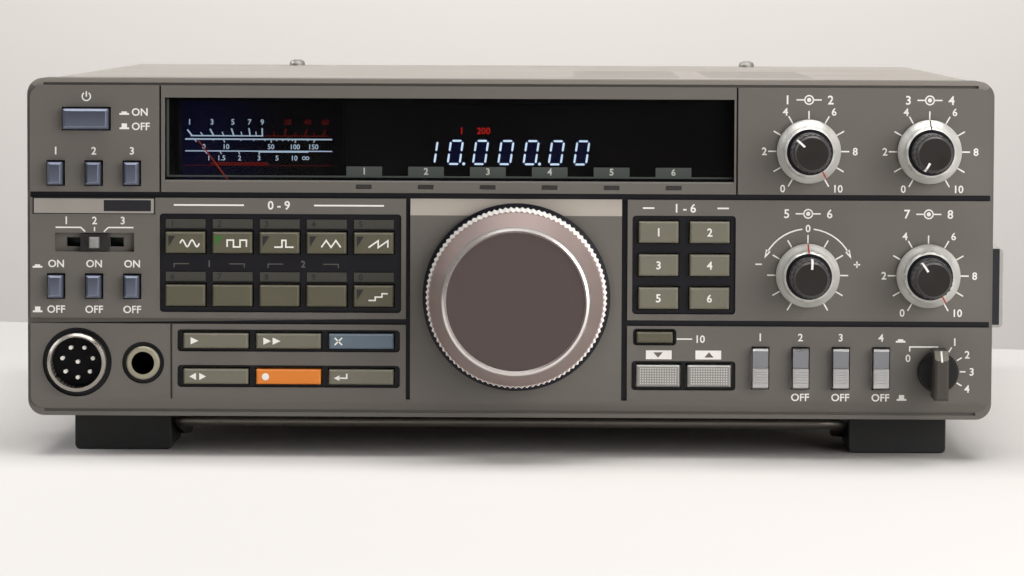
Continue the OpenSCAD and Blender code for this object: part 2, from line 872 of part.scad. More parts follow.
// Boards above and below the deck on posts, with their larger components
module main_boards() {
    up = deck_z + deck_t;
    y0 = sub_y + 44;
    y1 = rear_y - 20;
    board_x = 118 * panel_fit;
    for (sx = [-1, 1], y = [y0 + 8, y1 - 8]) {
        translate([sx * 100 * panel_fit, y, deck_z - 8]) cylinder(r = 3, h = 8);
        translate([(sx * 55 - 55) * panel_fit, y, up]) cylinder(r = 3, h = 7);
    }
    box(-board_x, board_x, y0, y1, deck_z - 9.6, deck_z - 8);
    box(-board_x, 8 * panel_fit, y0, y1, up + 7, up + 8.6);
    for (k = [0 : 4]) {
        translate([(k - 2) * 44 * panel_fit, 0, 0]) box(-15, 15, y0 + 20, y0 + 62, deck_z - 20, deck_z - 9);
        translate([(k * 23 - 100) * panel_fit, y0 + 30, up + 8]) cylinder(r = 8, h = 16);
    }
    box(-105 * panel_fit, -20 * panel_fit, y1 - 90, y1 - 15, up + 8, up + 26);
    box(15 * panel_fit, 120 * panel_fit, y1 - 65, rear_y - rear_t, up, up + 24);
}

module speaker() {
    top = body_top - cover_t;
    translate([grille_x, grille_y, 0]) {
        translate([0, 0, top - 3]) cylinder(r = speaker_r, h = 3);
        translate([0, 0, top - 16]) cylinder(r1 = 15, r2 = speaker_r - 4, h = 14);
        translate([0, 0, top - 28]) cylinder(r = 18, h = 12.5);
    }
}

module electronics() {
    color("#3f6b4a") place() {
        panel_boards();
        pots();
        main_boards();
        speaker();
    }
}

module mic_socket() {
    bore = mic_in_r + fit_gap;
    pin_r = 0.55;
    pin_ring = 4.4;
    turned([
        [bore, -9], [mic_in_r + 0.7, -9], [mic_in_r + 0.7, -1.6],
        [mic_r, -1.6], [mic_r, 2.2], [mic_r - 0.6, 2.8], [bore, 2.8]
    ]);
    rod(mic_in_r, 3.2, 12);
    for (k = [0 : 6]) {
        rotate([0, 360 * k / 7, 0]) translate([0, 0, -pin_ring]) rod(pin_r, 0.8, 4);
    }
    rod(pin_r, 0.8, 4);
}

module phone_jack() {
    turned([
        [0, -21.5], [6.2, -21.5], [6.2, -plate_t],
        [jack_r + 0.85, -plate_t], [jack_r + 0.85, -1], [jack_nut_r, -1],
        [jack_nut_r, 0.6], [jack_nut_r - 0.4, 1], [jack_r, 1], [jack_r, -20.5], [0, -20.5]
    ]);
}

// Rear socket forms point to the rear: their profiles give radius and distance behind the rear plate
module rear_turned(points) {
    translate([0, rear_y, 0]) mirror([0, 1, 0]) turned(points);
}

module aerial_socket() {
    block(25.4, 25.4, rear_y, rear_y + 2.5);
    rear_turned([
        [0, 0], [aerial_r + 0.6, 0], [aerial_r + 0.6, 5],
        [aerial_r, 5], [aerial_r, 18], [aerial_r - 1.6, 18],
        [aerial_r - 1.6, 12], [2.1, 12], [2.1, 8], [0, 8]
    ]);
}

module round_socket() {
    wall_r = round_r + 0.6;
    rear_turned([
        [0, -8], [wall_r, -8], [wall_r, 0], [wall_r + 1.4, 0],
        [wall_r + 1.4, 2.4], [wall_r + 0.8, 3], [round_r, 3],
        [round_r, -5], [0, -5]
    ]);
    for (k = [-3 : 3]) {
        rotate([0, k * 42, 0]) translate([0, 0, 4.6]) rod(0.7, rear_y - 5.5, rear_y - 2);
    }
}

module rear_jack() {
    wall_r = rear_jack_r + 1.7;
    body_r = wall_r + 2;
    rear_turned([
        [0, -18], [body_r, -18], [body_r, -rear_t], [wall_r, -rear_t],
        [wall_r, 0], [wall_r + 1, 0], [wall_r + 1, 2.4],
        [wall_r + 0.6, 3], [rear_jack_r, 3], [rear_jack_r, -15], [0, -15]
    ]);
}

// Six pin supply inlet: shroud, inner ledge and flat pins
module supply_inlet() {
    difference() {
        block(30, 22, rear_y, rear_y + 15);
        block(26, 18, rear_y + 3, rear_y + 16);
    }
    for (sx = [-1 : 1], sz = [-1, 1]) {
        translate([sx * 8, 0, sz * 4.2]) block(3, 1.6, rear_y + 2.5, rear_y + 9);
    }
}

module ground_stud() {
    rear_turned([[0, 0], [7, 0], [7, 1], [2, 1], [2, 14], [0, 14]]);
    translate([0, rear_y + 4, 0]) turned([[0, -6], [6, -6], [6, 0], [0, 0]]);
}

module sockets() {
    color(chrome) place() {
        at(mic_at) mic_socket();
        at(jack_at) phone_jack();
        at(aerial_at) aerial_socket();
        at(stud_at) ground_stud();
        at(supply_at) supply_inlet();
        for (i = [0, 1]) {
            at(round_at(i)) round_socket();
        }
        for (i = [0 : 2]) {
            at(rear_jack_at(i)) rear_jack();
        }
    }
}

// A foot with rounded lower edges and a hole for the bail, drawn for the right side
module front_foot() {
    difference() {
        translate([0, 0, (body_bottom - foot_h) / 2]) slab(foot_y, foot_y + foot_l) {
            round_rect(foot_w, foot_h + body_bottom, 1.5);
            translate([-foot_w / 2, 0]) square([foot_w, (foot_h + body_bottom) / 2]);
        }
        translate([-foot_w / 2 - 1, bail_y, bail_z]) rotate([0, 90, 0]) {
            cylinder(r = bail_r + run_gap, h = 9);
        }
    }
}

module feet() {
    color(black) place() {
        for (s = [0, 1]) {
            mirror([s, 0, 0]) translate([foot_x, 0, 0]) front_foot();
            mirror([s, 0, 0]) translate([foot_x, rear_y - 25, -foot_h]) {
                cylinder(r = 11, h = foot_h + body_bottom);
            }
        }
        for (y = [panel_d + 30, rear_y - 30], z = [22, panel_h - 22]) {
            translate([left_x - side_out, y, z]) rotate([0, 90, 0]) {
                cylinder(r = 7, h = side_out + cover_step);
            }
        }
    }
}

module carry_handle() {
    x0 = body_w / 2;
    x1 = panel_w / 2 + side_out;
    mid = (x0 + x1) / 2;
    gap_h = handle_h - 2.4;
    color(black) place() translate([0, 0, handle_z]) {
        for (y = [handle_y, handle_y + handle_l - cap_l]) {
            inner = y == handle_y ? y + 5 : y - 1;
            difference() {
                translate([mid, 0, 0]) slab(y, y + cap_l) round_rect(x1 - x0, handle_h, cap_r);
                translate([mid, 0, 0]) {
                    block(strap_t + 2 * fit_gap, gap_h + 2 * fit_gap, inner, inner + cap_l - 4);
                }
            }
        }
        translate([mid, 0, 0]) {
            block(strap_t, gap_h, handle_y + 5 + fit_gap, handle_y + handle_l - 5 - fit_gap);
        }
    }
}

module tuning_knob() {
    color(chrome) place() at(tune_at) {
        turned([
            [0, knob_gap], [tune_r + 0.9, knob_gap],
            [tune_r + 0.9, knob_gap + 2.2], [tune_r - 1.3, knob_gap + 2.6],
            [tune_r - 1.3, knob_out - 9.8], [tune_rim_r, knob_out - 1.4],
            [tune_rim_r - 0.4, knob_out - 0.4], [tune_rim_r - 1.1, knob_out],
            [tune_rim_r - 1.6, knob_out - 0.7],
            [0, knob_out - 0.7]
        ]);
        for (k = [0 : 2]) slab(-knurl_y - knurl_l * (k + 1) / 3, -knurl_y - 0.2 * k) {
            polygon(fluted(knob_ridges, tune_r - knurl_step * k, 0.5));
        }
        rod(shaft_r, -knob_gap - 1, sub_back + 6);
    }
}

// The outer knob of a pair: a smooth flange, then a shoulder with finger hollows around it
module ring_knob(i) {
    shoulder_r = core_r + 1.9;
    color(chrome) place() at(ring_at(i)) {
        difference() {
            union() {
                turned([
                    [0, knob_gap], [ring_r, knob_gap], [ring_r, 1.8],
                    [ring_r - 0.4, 2.5], [shoulder_r + 0.4, 3.6],
                    [shoulder_r, 4.2], [shoulder_r - 0.3, ring_out - 0.6],
                    [shoulder_r - 0.9, ring_out], [0, ring_out]
                ]);
                rod(shaft_r, -knob_gap - 1, sub_back + 2);
            }
            rod(shaft_r / 2 + run_gap, -ring_out - 1, sub_back + 3);
            for (k = [0 : hollow_count - 1]) {
                rotate([0, 360 * (k + 0.5) / hollow_count, 0]) {
                    translate([0, 0.4 - ring_out, shoulder_r + hollow_r - 0.6]) sphere(hollow_r);
                }
            }
        }
    }
}

module core_knob(i) {
    base = ring_out + free_gap;
    color(black) place() at(ring_at(i)) {
        turned([
            [0, base], [core_r + 0.1, base], [core_r + 0.1, base + 1], [core_r - 0.5, base + 1.5],
            [core_r - 0.5, core_out - 0.6], [core_r - 1, core_out], [0, core_out]
        ]);
        slab(1.2 - core_out, -base - 1.2) polygon(fluted(22, core_r, 0.3));
        rod(shaft_r / 2, -base - 1, sub_back + 6);
    }
}

module selector_knob() {
    color(black) place() at(selector_at) {
        turned([[0, knob_gap], [selector_r, knob_gap], [selector_r, 3], [selector_r - 0.5, 3.6], [0, 3.6]]);
        difference() {
            key_cap(selector_w, selector_l, selector_out, 0.6, -knob_gap - 0.6);
            beam(-selector_w, selector_w, [
                [-selector_out - 1, selector_l / 2 - tip_h - tip_h / tip_y],
                [1 + tip_y - selector_out, selector_l / 2 + tip_h / tip_y],
                [-selector_out - 1, selector_l / 2 + tip_h / tip_y]
            ]);
        }
        rod(shaft_r, -knob_gap - 1, sub_back + 6);
    }
}

module power_button() {
    color(button_colour) place() at(power_at) button(power_cap, power_h);
}

// A push button's cap with a bevelled front and its flange behind the plate
module button(w, h) {
    key_cap(w, h, button_out, 0.7, button_end);
    block(
        w + 2 * button_gap + 2 * flange_w, h + 2 * button_gap + 2 * flange_w, flange_y, flange_y + flange_t
    );
}

module upper_button(i) {
    color(button_colour) place() at(small_at(i, upper_z)) button(small_cap, small_h);
}

module lower_button(i) {
    color(button_colour) place() at(small_at(i, lower_z)) button(small_cap, small_h);
}

// A tall button with a plain upper half and a ribbed lower half
module push_button(i) {
    half = push_h / 2;
    rib_step = (half - 2) / 5;
    rib_out = button_out + 0.4;
    lip_h = 1.1;
    color("#a5a6a8") place() at(push_at(i)) {
        beam(-push_cap / 2, push_cap / 2, [
            [button_end, half], [0.4 - button_out, half],
            [-button_out, half - 0.6], [0.6 - button_out, 0.3],
            [-button_out, 0], [-button_out, 0.3 - half], [0.5 - button_out, -half], [button_end, -half]
        ]);
        for (k = [0 : 4]) {
            translate([0, 0, -0.5 - k * rib_step]) {
                block(push_cap - 0.5, 0.6 * rib_step, -rib_out, 1 - button_out);
            }
        }
        translate([0, 0, 1 - half]) block(push_cap, lip_h, -rib_out, 1 - button_out);
        block(
            push_cap + 2 * button_gap + 2 * flange_w, push_h + 2 * button_gap + 2 * flange_w,
            flange_y, flange_y + flange_t
        );
    }
}

module meter_switch() {
    color(button_colour) place() at(slider_at) {
        block(slider_w, slider_h, -0.2, 1.7);
        key_cap(2.6, 3.05, button_out - 0.4, 0.4, 0);
        block(1.8, 2, 1, flange_y + flange_t);
        block(slider_w, slider_h, flange_y, flange_y + flange_t);
    }
}

module mode_key(i) {
    color(key_colour) place() at(mode_key_at(i)) key(mode_cap, mode_h, key_out, key_end);
}

module memory_key(i) {
    color(key_colour) place() at(memory_key_at(i)) key(memory_cap, memory_h, key_out, key_end);
}

module function_key(i) {
    color(key_colour) place() at(function_key_at(i)) key(function_cap, function_h, key_out, key_end);
}

module step_key() {
    color(key_colour) place() at(step_at) key(step_cap, step_h, key_out, key_end);
}

module band_key(i) {
    color("#a5a9ae") place() at(band_key_at(i)) key(band_cap, band_h, key_out, key_end);
}

// Half of the wire stand, from its pivot in the foot forward to the middle of the cross bar
module bail_half() {
    translate([0, bail_y, bail_z]) rotate([-bail_fold, 0, 0]) {
        translate([bail_x, 0, 0]) rotate([0, 90, 0]) cylinder(r = bail_r, h = foot_w / 2 - 4);
        translate([bail_x, 0, 0]) sphere(bail_r);
        translate([bail_x, 0, 0]) rotate([90, 0, 0]) cylinder(r = bail_r, h = bail_l - bend_r);
        translate([bail_x - bend_r, bend_r - bail_l, 0]) rotate([0, 0, -90]) rotate_extrude(angle = 90) {
            translate([bend_r, 0]) circle(bail_r);
        }
        translate([0, -bail_l, 0]) rotate([0, 90, 0]) cylinder(r = bail_r, h = bail_x - bend_r);
    }
}

module tilt_bail() {
    color(steel) place() {
        bail_half();
        mirror([1, 0, 0]) bail_half();
    }
}

front_panel();
top_cover();
bottom_cover();
chassis();
heat_sink();
display_window();
meter_and_display();
electronics();
sockets();
feet();
carry_handle();
tuning_knob();
selector_knob();
power_button();
meter_switch();
step_key();
meter_needle();
tilt_bail();
for (i = [0 : 1]) band_key(i);
for (i = [0 : 3]) ring_knob(i);
for (i = [0 : 3]) core_knob(i);
for (i = [0 : 3]) push_button(i);
for (i = [0 : 2]) upper_button(i);
for (i = [0 : 2]) lower_button(i);
for (i = [0 : 5]) memory_key(i);
for (i = [0 : 5]) function_key(i);
for (i = [0 : 9]) mode_key(i);
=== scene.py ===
"""HF transceiver: finishes, printed marks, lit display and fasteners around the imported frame, on a stage."""

import math

import bmesh
import bpy
from bpy.props import FloatProperty, FloatVectorProperty, PointerProperty
from mathutils import Matrix, Vector


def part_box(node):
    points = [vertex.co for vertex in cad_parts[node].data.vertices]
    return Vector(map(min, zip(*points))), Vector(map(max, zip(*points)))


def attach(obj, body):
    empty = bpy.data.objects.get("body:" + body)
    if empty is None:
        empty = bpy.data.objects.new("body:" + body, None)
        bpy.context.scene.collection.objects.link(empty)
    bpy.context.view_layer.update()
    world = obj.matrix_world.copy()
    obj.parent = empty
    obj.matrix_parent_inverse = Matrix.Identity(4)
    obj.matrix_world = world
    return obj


bl_info = {
    "name": "HF Transceiver Finishes",
    "version": (1, 0, 0),
    "blender": (4, 5, 0),
    "location": "View3D > Sidebar > Radio",
    "description": "Finishes, printed marks, lit display and stage for the packed transceiver",
    "category": "Object",
}

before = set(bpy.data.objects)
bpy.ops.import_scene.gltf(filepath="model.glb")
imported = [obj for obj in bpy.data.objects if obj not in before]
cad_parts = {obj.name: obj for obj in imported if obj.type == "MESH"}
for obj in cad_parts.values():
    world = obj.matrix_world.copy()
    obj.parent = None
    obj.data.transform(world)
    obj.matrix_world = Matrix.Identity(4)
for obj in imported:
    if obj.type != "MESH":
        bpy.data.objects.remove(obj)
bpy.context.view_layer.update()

MM = 0.001

# The panel's own frame, in millimetres: X from its middle, Y behind its face, Z above its lower edge
PANEL_LOW, PANEL_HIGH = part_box("front_panel")
PANEL_DEPTH = 18.0
FACE_Y = PANEL_HIGH.y / MM - PANEL_DEPTH
PANEL_FOOT = PANEL_LOW.z / MM
PANEL_H = PANEL_HIGH.z / MM - PANEL_FOOT
TO_METRES = Matrix.Scale(MM, 4) @ Matrix.Translation((0.0, FACE_Y, PANEL_FOOT))

# Depths of the panel's steps behind its face
POCKET_FLOOR = 1.2
PAD_FRONT = 0.6
SLIDE_FLOOR = 2.0
WINDOW_FRONT = 3.0
WINDOW_BACK = 6.0
TUBE_FRONT = 6.4
DIAL_FRONT = 15.0
REAR_PLATE = 275.0

# Thickness of printed ink, and how far it sinks into what it is printed on
INK = 0.03
INK_SINK = 0.02


def hex_colour(code):
    """Linear red, green and blue of an sRGB hex colour"""
    parts = [int(code[k:k + 2], 16) / 255 for k in (1, 3, 5)]
    return tuple(c / 12.92 if c <= 0.04045 else ((c + 0.055) / 1.055) ** 2.4 for c in parts)


def colour_setting(name, description, code):
    """A colour that a user can change"""
    return FloatVectorProperty(
        name=name, description=description, subtype="COLOR", size=3, min=0, max=1, default=hex_colour(code)
    )


def length_setting(name, description, millimetres):
    """A length that a user can change"""
    return FloatProperty(
        name=name, description=description, unit="LENGTH", subtype="DISTANCE", min=0, default=millimetres * MM
    )


def power_setting(name, watts):
    """The power of a light that a user can change"""
    return FloatProperty(name=name, description=f"Power of the {name.lower()}", unit="POWER", default=watts)


class RadioSizes(bpy.types.PropertyGroup):
    """Sizes of the printed marks and of the rounded edges"""

    title_h: length_setting("Title height", "Height of the marks beside knobs and groups", 2.5)
    label_h: length_setting("Label height", "Height of the marks at buttons and dials", 2.15)
    line_w: length_setting("Line width", "Width of printed lines and dial ticks", 0.38)
    panel_edge: length_setting("Panel edge", "Rounding of the front panel's edges", 0.4)
    key_edge: length_setting("Key edge", "Rounding of the keys' and buttons' edges", 0.14)
    cover_edge: length_setting("Cover edge", "Rounding of the covers' cut edges", 0.25)


class RadioColours(bpy.types.PropertyGroup):
    """Colours of the finishes"""

    panel: colour_setting("Panel", "Moulded front panel", "#64605b")
    # The slope's pale colour is painted highlight, for the top light it catches
    slope: colour_setting("Slope", "Smooth slope over the tuning knob", "#b0a9a0")
    pocket: colour_setting("Pocket", "Pockets and grooves of the panel", "#0a0914")
    pad: colour_setting("Number pad", "Pads over the mode keys", "#3d3c35")
    plate: colour_setting("Nameplate", "Bare plate on the left of the panel", "#a8a49e")
    # The covers' pale beige is partly painted reflection of the pale room seen at grazing angles
    cover: colour_setting("Covers", "Enamel of the top and bottom covers", "#a29d96")
    key: colour_setting("Mode keys", "Dark khaki keys", "#575443")
    key_pale: colour_setting("Pale keys", "Paler khaki memory and function keys", "#6e6c5e")
    key_blue: colour_setting("Blue key", "Upper right memory key", "#5f6e7b")
    key_orange: colour_setting("Orange key", "Lower middle memory key", "#dd7f2a")
    band: colour_setting("Band keys", "Pale grey keys with raised dots", "#9b9a98")
    button: colour_setting("Buttons", "Blue grey metallic buttons", "#6d7486")
    push: colour_setting("Push buttons", "Silver buttons of the lower row", "#c2c2c2")
    push_field: colour_setting("Push button fields", "Plain upper halves of the silver buttons", "#85878c")
    ink: colour_setting("Print", "Pale print on the panel and keys", "#eceae6")
    dark_ink: colour_setting("Dark print", "Dark print on pads and arrow boxes", "#1c1c1c")
    dim_ink: colour_setting("Dim print", "Dim print in the mode pocket", "#5a574f")
    red: colour_setting("Red marks", "Red marks of the ring knobs", "#b8322c")
    knob_face: colour_setting("Tuning knob face", "Brown grey disc of the tuning knob", "#4a3d3c")
    knob_cone: colour_setting("Tuning knob cone", "Satin cone of the tuning knob", "#cdb9b5")
    knob_black: colour_setting("Black slide", "Carriage of the slide switch", "#1d1c1c")
    lit: colour_setting("Lit digits", "Digits and scale of the display", "#cfe6ff")
    glow: colour_setting("Blue glow", "Glow around the lit digits", "#0b1f8a")
    lit_red: colour_setting("Lit red", "Red indicators of the display", "#e0281a")
    floor: colour_setting("Floor", "Cloth of the stage", "#d6d4d2")
    wall: colour_setting("Wall", "Wall of the stage", "#eae7e4")


class RadioStage(bpy.types.PropertyGroup):
    """Light of the stage"""

    key_power: power_setting("Key light", 10.5)
    fill_power: power_setting("Fill light", 5.5)
    top_power: power_setting("Top light", 20)
    back_power: power_setting("Back light", 10)
    wall_power: power_setting("Wall light", 25)
    room: FloatProperty(name="Room light", description="Strength of the even room light", default=0.05, min=0)


# Shader helpers


def add(tree, kind, inputs=(), **settings):
    """Adds a node, sets its properties, and sets or links its inputs by name or number"""
    node = tree.nodes.new(kind)
    for key, value in settings.items():
        setattr(node, key, value)
    for key, value in dict(inputs).items():
        if isinstance(value, bpy.types.NodeSocket):
            tree.links.new(value, node.inputs[key])
        else:
            node.inputs[key].default_value = value
    return node


def start(name, colour, rough, **sockets):
    """A new material with plain values set: the material, its tree, its shader and object coordinates"""
    made = bpy.data.materials.new(name)
    made.use_nodes = True
    tree = made.node_tree
    shader = tree.nodes["Principled BSDF"]
    shader.inputs["Base Color"].default_value = (*colour, 1.0)
    shader.inputs["Roughness"].default_value = rough
    for key, value in sockets.items():
        shader.inputs[key.replace("_", " ")].default_value = value
    where = add(tree, "ShaderNodeTexCoord").outputs["Object"]
    return made, tree, shader, where


def shade(colour, by):
    """A colour made lighter or darker"""
    return tuple(min(1.0, c * by) for c in colour)


def noise(tree, where, size, detail):
    """Cloudy noise with patches of a size in millimetres"""
    made = add(tree, "ShaderNodeTexNoise", {"Vector": where, "Scale": 1 / (size * MM), "Detail": detail})
    return made.outputs["Fac"]


def ranged(tree, value, first, last, low, high):
    """A value whose stretch from first to last becomes low to high"""
    made = add(
        tree, "ShaderNodeMapRange",
        {"Value": value, "From Min": first, "From Max": last, "To Min": low, "To Max": high},
    )
    return made.outputs["Result"]


def blend(tree, shader, share, low, high):
    """Base colour that runs from one colour to another"""
    mixed = add(tree, "ShaderNodeMix", {0: share, 6: (*low, 1.0), 7: (*high, 1.0)}, data_type="RGBA")
    tree.links.new(mixed.outputs[2], shader.inputs["Base Color"])


def relief(tree, shader, height, strength, depth):
    """Bump of a depth in millimetres"""
    bump = add(tree, "ShaderNodeBump", {"Height": height, "Strength": strength, "Distance": depth * MM})
    tree.links.new(bump.outputs["Normal"], shader.inputs["Normal"])


# The stretch of values that noise fills
NOISE_LOW, NOISE_HIGH = 0.3, 0.7


def mottle(tree, shader, where, colour, size, amount):
    """Slow change of colour over the surface: patch size in millimetres, amount as a share of the colour"""
    blend(tree, shader, noise(tree, where, size, 3.0), shade(colour, 1 - amount), shade(colour, 1 + amount))


def fade(tree, shader, where, colour, foot, top):
    """Painted highlight and shade: colour that runs from paler to darker between two heights, in panel
    millimetres
    """
    height = add(tree, "ShaderNodeSeparateXYZ", {0: where}).outputs["Z"]
    low, high = ((z + PANEL_FOOT) * MM for z in (foot, top))
    paler, darker = 1.4, 0.62
    share = ranged(tree, height, low, high, 0.0, 1.0)
    blend(tree, shader, share, shade(colour, paler), shade(colour, darker))


def grain(tree, shader, where, size, depth, detail=2.0):
    """Raised grain: size and depth in millimetres"""
    relief(tree, shader, noise(tree, where, size, detail), 1.0, depth)


def handled(tree, shader, where, size, low, high):
    """Roughness that changes over the surface as handling leaves it: patch size in millimetres"""
    level = ranged(tree, noise(tree, where, size, 4.0), NOISE_LOW, NOISE_HIGH, low, high)
    tree.links.new(level, shader.inputs["Roughness"])


def surface(name, colour, rough, cloud, pebble=None, wear=None, stretch=None, **sockets):
    """A finish in one call: cloud holds what mottle takes, pebble what grain takes, wear what handled takes.
    stretch scales the grain's coordinates, so that it runs in streaks."""
    made, tree, shader, where = start(name, colour, rough, **sockets)
    mottle(tree, shader, where, colour, *cloud)
    if wear:
        handled(tree, shader, where, *wear)
    if stretch:
        where = add(tree, "ShaderNodeMapping", {"Vector": where, "Scale": stretch}).outputs["Vector"]
    if pebble:
        grain(tree, shader, where, *pebble)
    return made


# Plastics


def spark_grained_abs(colour, name="spark_grained_abs"):
    """Front panel: ABS moulded in a spark eroded tool. The eye sees an even fine grain under a soft sheen."""
    return surface(name, colour, 0.46, (70, 0.05), (0.55, 0.016), (45, 0.42, 0.52))


def smooth_abs(colour):
    """Slope over the tuning knob: ABS moulded smooth. The eye sees a pale, silky band; its paleness is painted
    highlight, for the top light that the slope catches.
    """
    return surface("slope_painted_highlight_abs", colour, 0.4, (40, 0.04), wear=(30, 0.36, 0.46))


def polished_black_abs(colour):
    """Pockets and grooves: ABS moulded against polished steel. The eye sees near black with gloss."""
    wear = (18, 0.28, 0.42)
    return surface("polished_black_abs", colour, 0.34, (25, 0.12), wear=wear, Specular_IOR_Level=0.35)


def screened_pad(colour):
    """Number pads: screen printed enamel on ABS. The eye sees flat dark olive with a dry face."""
    return surface("screen_printed_pad", colour, 0.55, (6, 0.06), (0.3, 0.006))


def key_abs(name, colour):
    """Keys: ABS with a fine matt grain, worn a little smoother in the middle by fingers."""
    return surface(name, colour, 0.42, (9, 0.045), (0.35, 0.009), (7, 0.34, 0.5))


def metallised_button(name, colour, rough, span=None):
    """Buttons: ABS with vacuum deposited metal under lacquer. The eye sees a soft sheen, and over a span of
    height the flat face runs from pale to dark as painted highlight and shade."""
    coat = {"Coat_Weight": 0.25, "Coat_Roughness": 0.25}
    made, tree, shader, where = start(name, colour, rough, Metallic=0.85, **coat)
    if span:
        fade(tree, shader, where, colour, *span)
    else:
        mottle(tree, shader, where, colour, 8, 0.04)
    handled(tree, shader, where, 5, rough - 0.04, rough + 0.06)
    return made


def matt_black_abs(name, colour, shine=0.5):
    """Black knobs: ABS with a matt moulded grain, shinier on the ridges that fingers rub."""
    wear = (6, 0.32, 0.48)
    return surface(name, colour, 0.4, (8, 0.1), (0.3, 0.008), wear, Specular_IOR_Level=shine)


def leather_grain_disc(colour):
    """Tuning knob face: vinyl disc with an embossed grain. The eye sees a dry, speckled brown grey."""
    return surface("leather_grain_vinyl", colour, 0.58, (0.6, 0.09), (0.5, 0.03, 3.0))


def smoked_acrylic():
    """Display window: cast acrylic, dyed dark. The eye sees black gloss with lit figures showing through."""
    colour, wear = hex_colour("#060508"), (30, 0.04, 0.09)
    made = surface("smoked_acrylic", colour, 0.06, (40, 0.2), wear=wear, IOR=1.49, Alpha=0.45)
    made.surface_render_method = "BLENDED"
    return made


# Metals and paint


def stoved_enamel(colour):
    """Covers: sheet steel with stoved texture enamel. The eye sees a fine pebble in grazing light. Their pale
    beige is partly the enamel's warm grey and partly painted reflection of the pale room at grazing angles.
    """
    return surface("stoved_texture_enamel", colour, 0.44, (90, 0.04), (0.9, 0.022), (60, 0.4, 0.5))


def plated(name, rough, code="#cfd1d4", metal=1.0):
    """Plated zinc and brass: the eye sees hazy reflections, paler where the plate scatters some light."""
    wear = (5, rough * 0.7, rough * 1.6)
    return surface(name, hex_colour(code), rough, (14, 0.03), wear=wear, Metallic=metal)


def satin_anodised(name, colour, rough, centre, metal):
    """Turned and anodised aluminium: turning lines spread the shine, and the oxide scatters some light."""
    line_pitch = 0.35
    made, tree, shader, where = start(name, colour, rough, Metallic=metal)
    moved = add(tree, "ShaderNodeMapping", {"Vector": where, "Location": -centre}).outputs["Vector"]
    scale = 1 / (2 * math.pi * line_pitch * MM)
    lines = add(
        tree, "ShaderNodeTexWave", {"Vector": moved, "Scale": scale, "Distortion": 0.6, "Detail": 2.0},
        wave_type="RINGS", rings_direction="Y",
    )
    relief(tree, shader, lines.outputs["Fac"], 0.25, 0.01)
    mottle(tree, shader, where, colour, 16, 0.035)
    return made


def zinc_steel():
    """Chassis: sheet steel with bright zinc. The eye sees pale grey with soft rolled streaks."""
    wear = (12, 0.3, 0.46)
    return surface("zinc_plated_steel", hex_colour("#a9aaa8"), 0.38, (20, 0.08), wear=wear, Metallic=0.9)


def black_zinc():
    """Cover screws: steel with black zinc. Dark satin metal with worn edges."""
    wear = (2, 0.28, 0.46)
    return surface("black_zinc_screws", hex_colour("#3a3a3c"), 0.36, (2, 0.2), wear=wear, Metallic=0.9)


def handle_cap():
    """Handle end caps: die cast zinc with satin nickel. The eye sees pale grey metal with a soft sheen."""
    wear = (6, 0.28, 0.42)
    return surface("satin_nickel_casting", hex_colour("#b0aeab"), 0.34, (9, 0.02), wear=wear, Metallic=0.35)


def black_anodised():
    """Heat sink: extruded aluminium, anodised black. Satin black with fine streaks along the fins."""
    upright = (1.0, 1.0, 0.04)
    return surface(
        "black_anodised_extrusion", hex_colour("#1f1f21"), 0.42, (12, 0.12), (0.5, 0.012),
        stretch=upright, Metallic=0.35,
    )


def brushed_plate(colour):
    """Nameplate: aluminium foil plate, brushed along its length and left bare."""
    along = (0.03, 1.0, 1.0)
    return surface(
        "brushed_aluminium_plate", colour, 0.4, (12, 0.04), (0.18, 0.006), stretch=along, Metallic=0.45
    )


def plated_wire():
    """Tilt bail: drawn steel wire with dull nickel, streaked along its length. Its dark grey is painted shade,
    for the shadow the panel casts on the wire.
    """
    wear = (4, 0.32, 0.46)
    return surface("nickel_wire_painted_shade", hex_colour("#6e6a64"), 0.38, (6, 0.06), wear=wear, Metallic=1.0)


def moulded_rubber():
    """Feet: moulded rubber. Dull black, a little dusty."""
    return surface("moulded_rubber", hex_colour("#1b1b1c"), 0.62, (7, 0.2), (0.6, 0.02))


def grained_vinyl():
    """Handle strap: vinyl over a steel band, embossed with a leather grain."""
    colour, cell = hex_colour("#161619"), 1.1
    made, tree, shader, where = start("grained_vinyl_strap", colour, 0.5)
    mottle(tree, shader, where, colour, 5, 0.2)
    cells = add(tree, "ShaderNodeTexVoronoi", {"Vector": where, "Scale": 1 / (cell * MM)})
    relief(tree, shader, cells.outputs["Distance"], 0.6, 0.08)
    return made


def glass_epoxy_board():
    """Circuit boards: glass epoxy with green solder mask. Glossy green with copper lines showing paler."""
    return surface("green_solder_mask", hex_colour("#2f5a3c"), 0.32, (3, 0.25))


def black_paint(name, colour):
    """Meter and display housing: black paint sprayed inside so that nothing shines through the window."""
    return surface(name, colour, 0.6, (10, 0.2), (0.5, 0.01))


def speaker_cloth():
    """Loudspeaker cloth behind the grille: black woven cotton."""
    return surface("black_grille_cloth", hex_colour("#121212"), 0.9, (0.9, 0.35), (0.8, 0.1))


# Ink and light


def screen_ink(name, colour):
    """Screen printed ink: a dry, slightly uneven film."""
    return surface(name, colour, 0.6, (2.5, 0.03))


def lit_segment(name, colour, strength, patch):
    """A lit phosphor or lamp film, a little dimmer in patches of a size in millimetres"""
    made, tree, shader, where = start(name, shade(colour, 0.1), 0.5)
    cloud = noise(tree, where, patch, 1.0)
    level = ranged(tree, cloud, NOISE_LOW, NOISE_HIGH, strength * 0.85, strength)
    shader.inputs["Emission Color"].default_value = (*colour, 1.0)
    tree.links.new(level, shader.inputs["Emission Strength"])
    return made


# Mesh helpers


def middle(node):
    """Centre X, front depth and centre Z of a CAD node, in panel millimetres"""
    low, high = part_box(node)
    return (low.x + high.x) / 2 / MM, low.y / MM - FACE_Y, (low.z + high.z) / 2 / MM - PANEL_FOOT


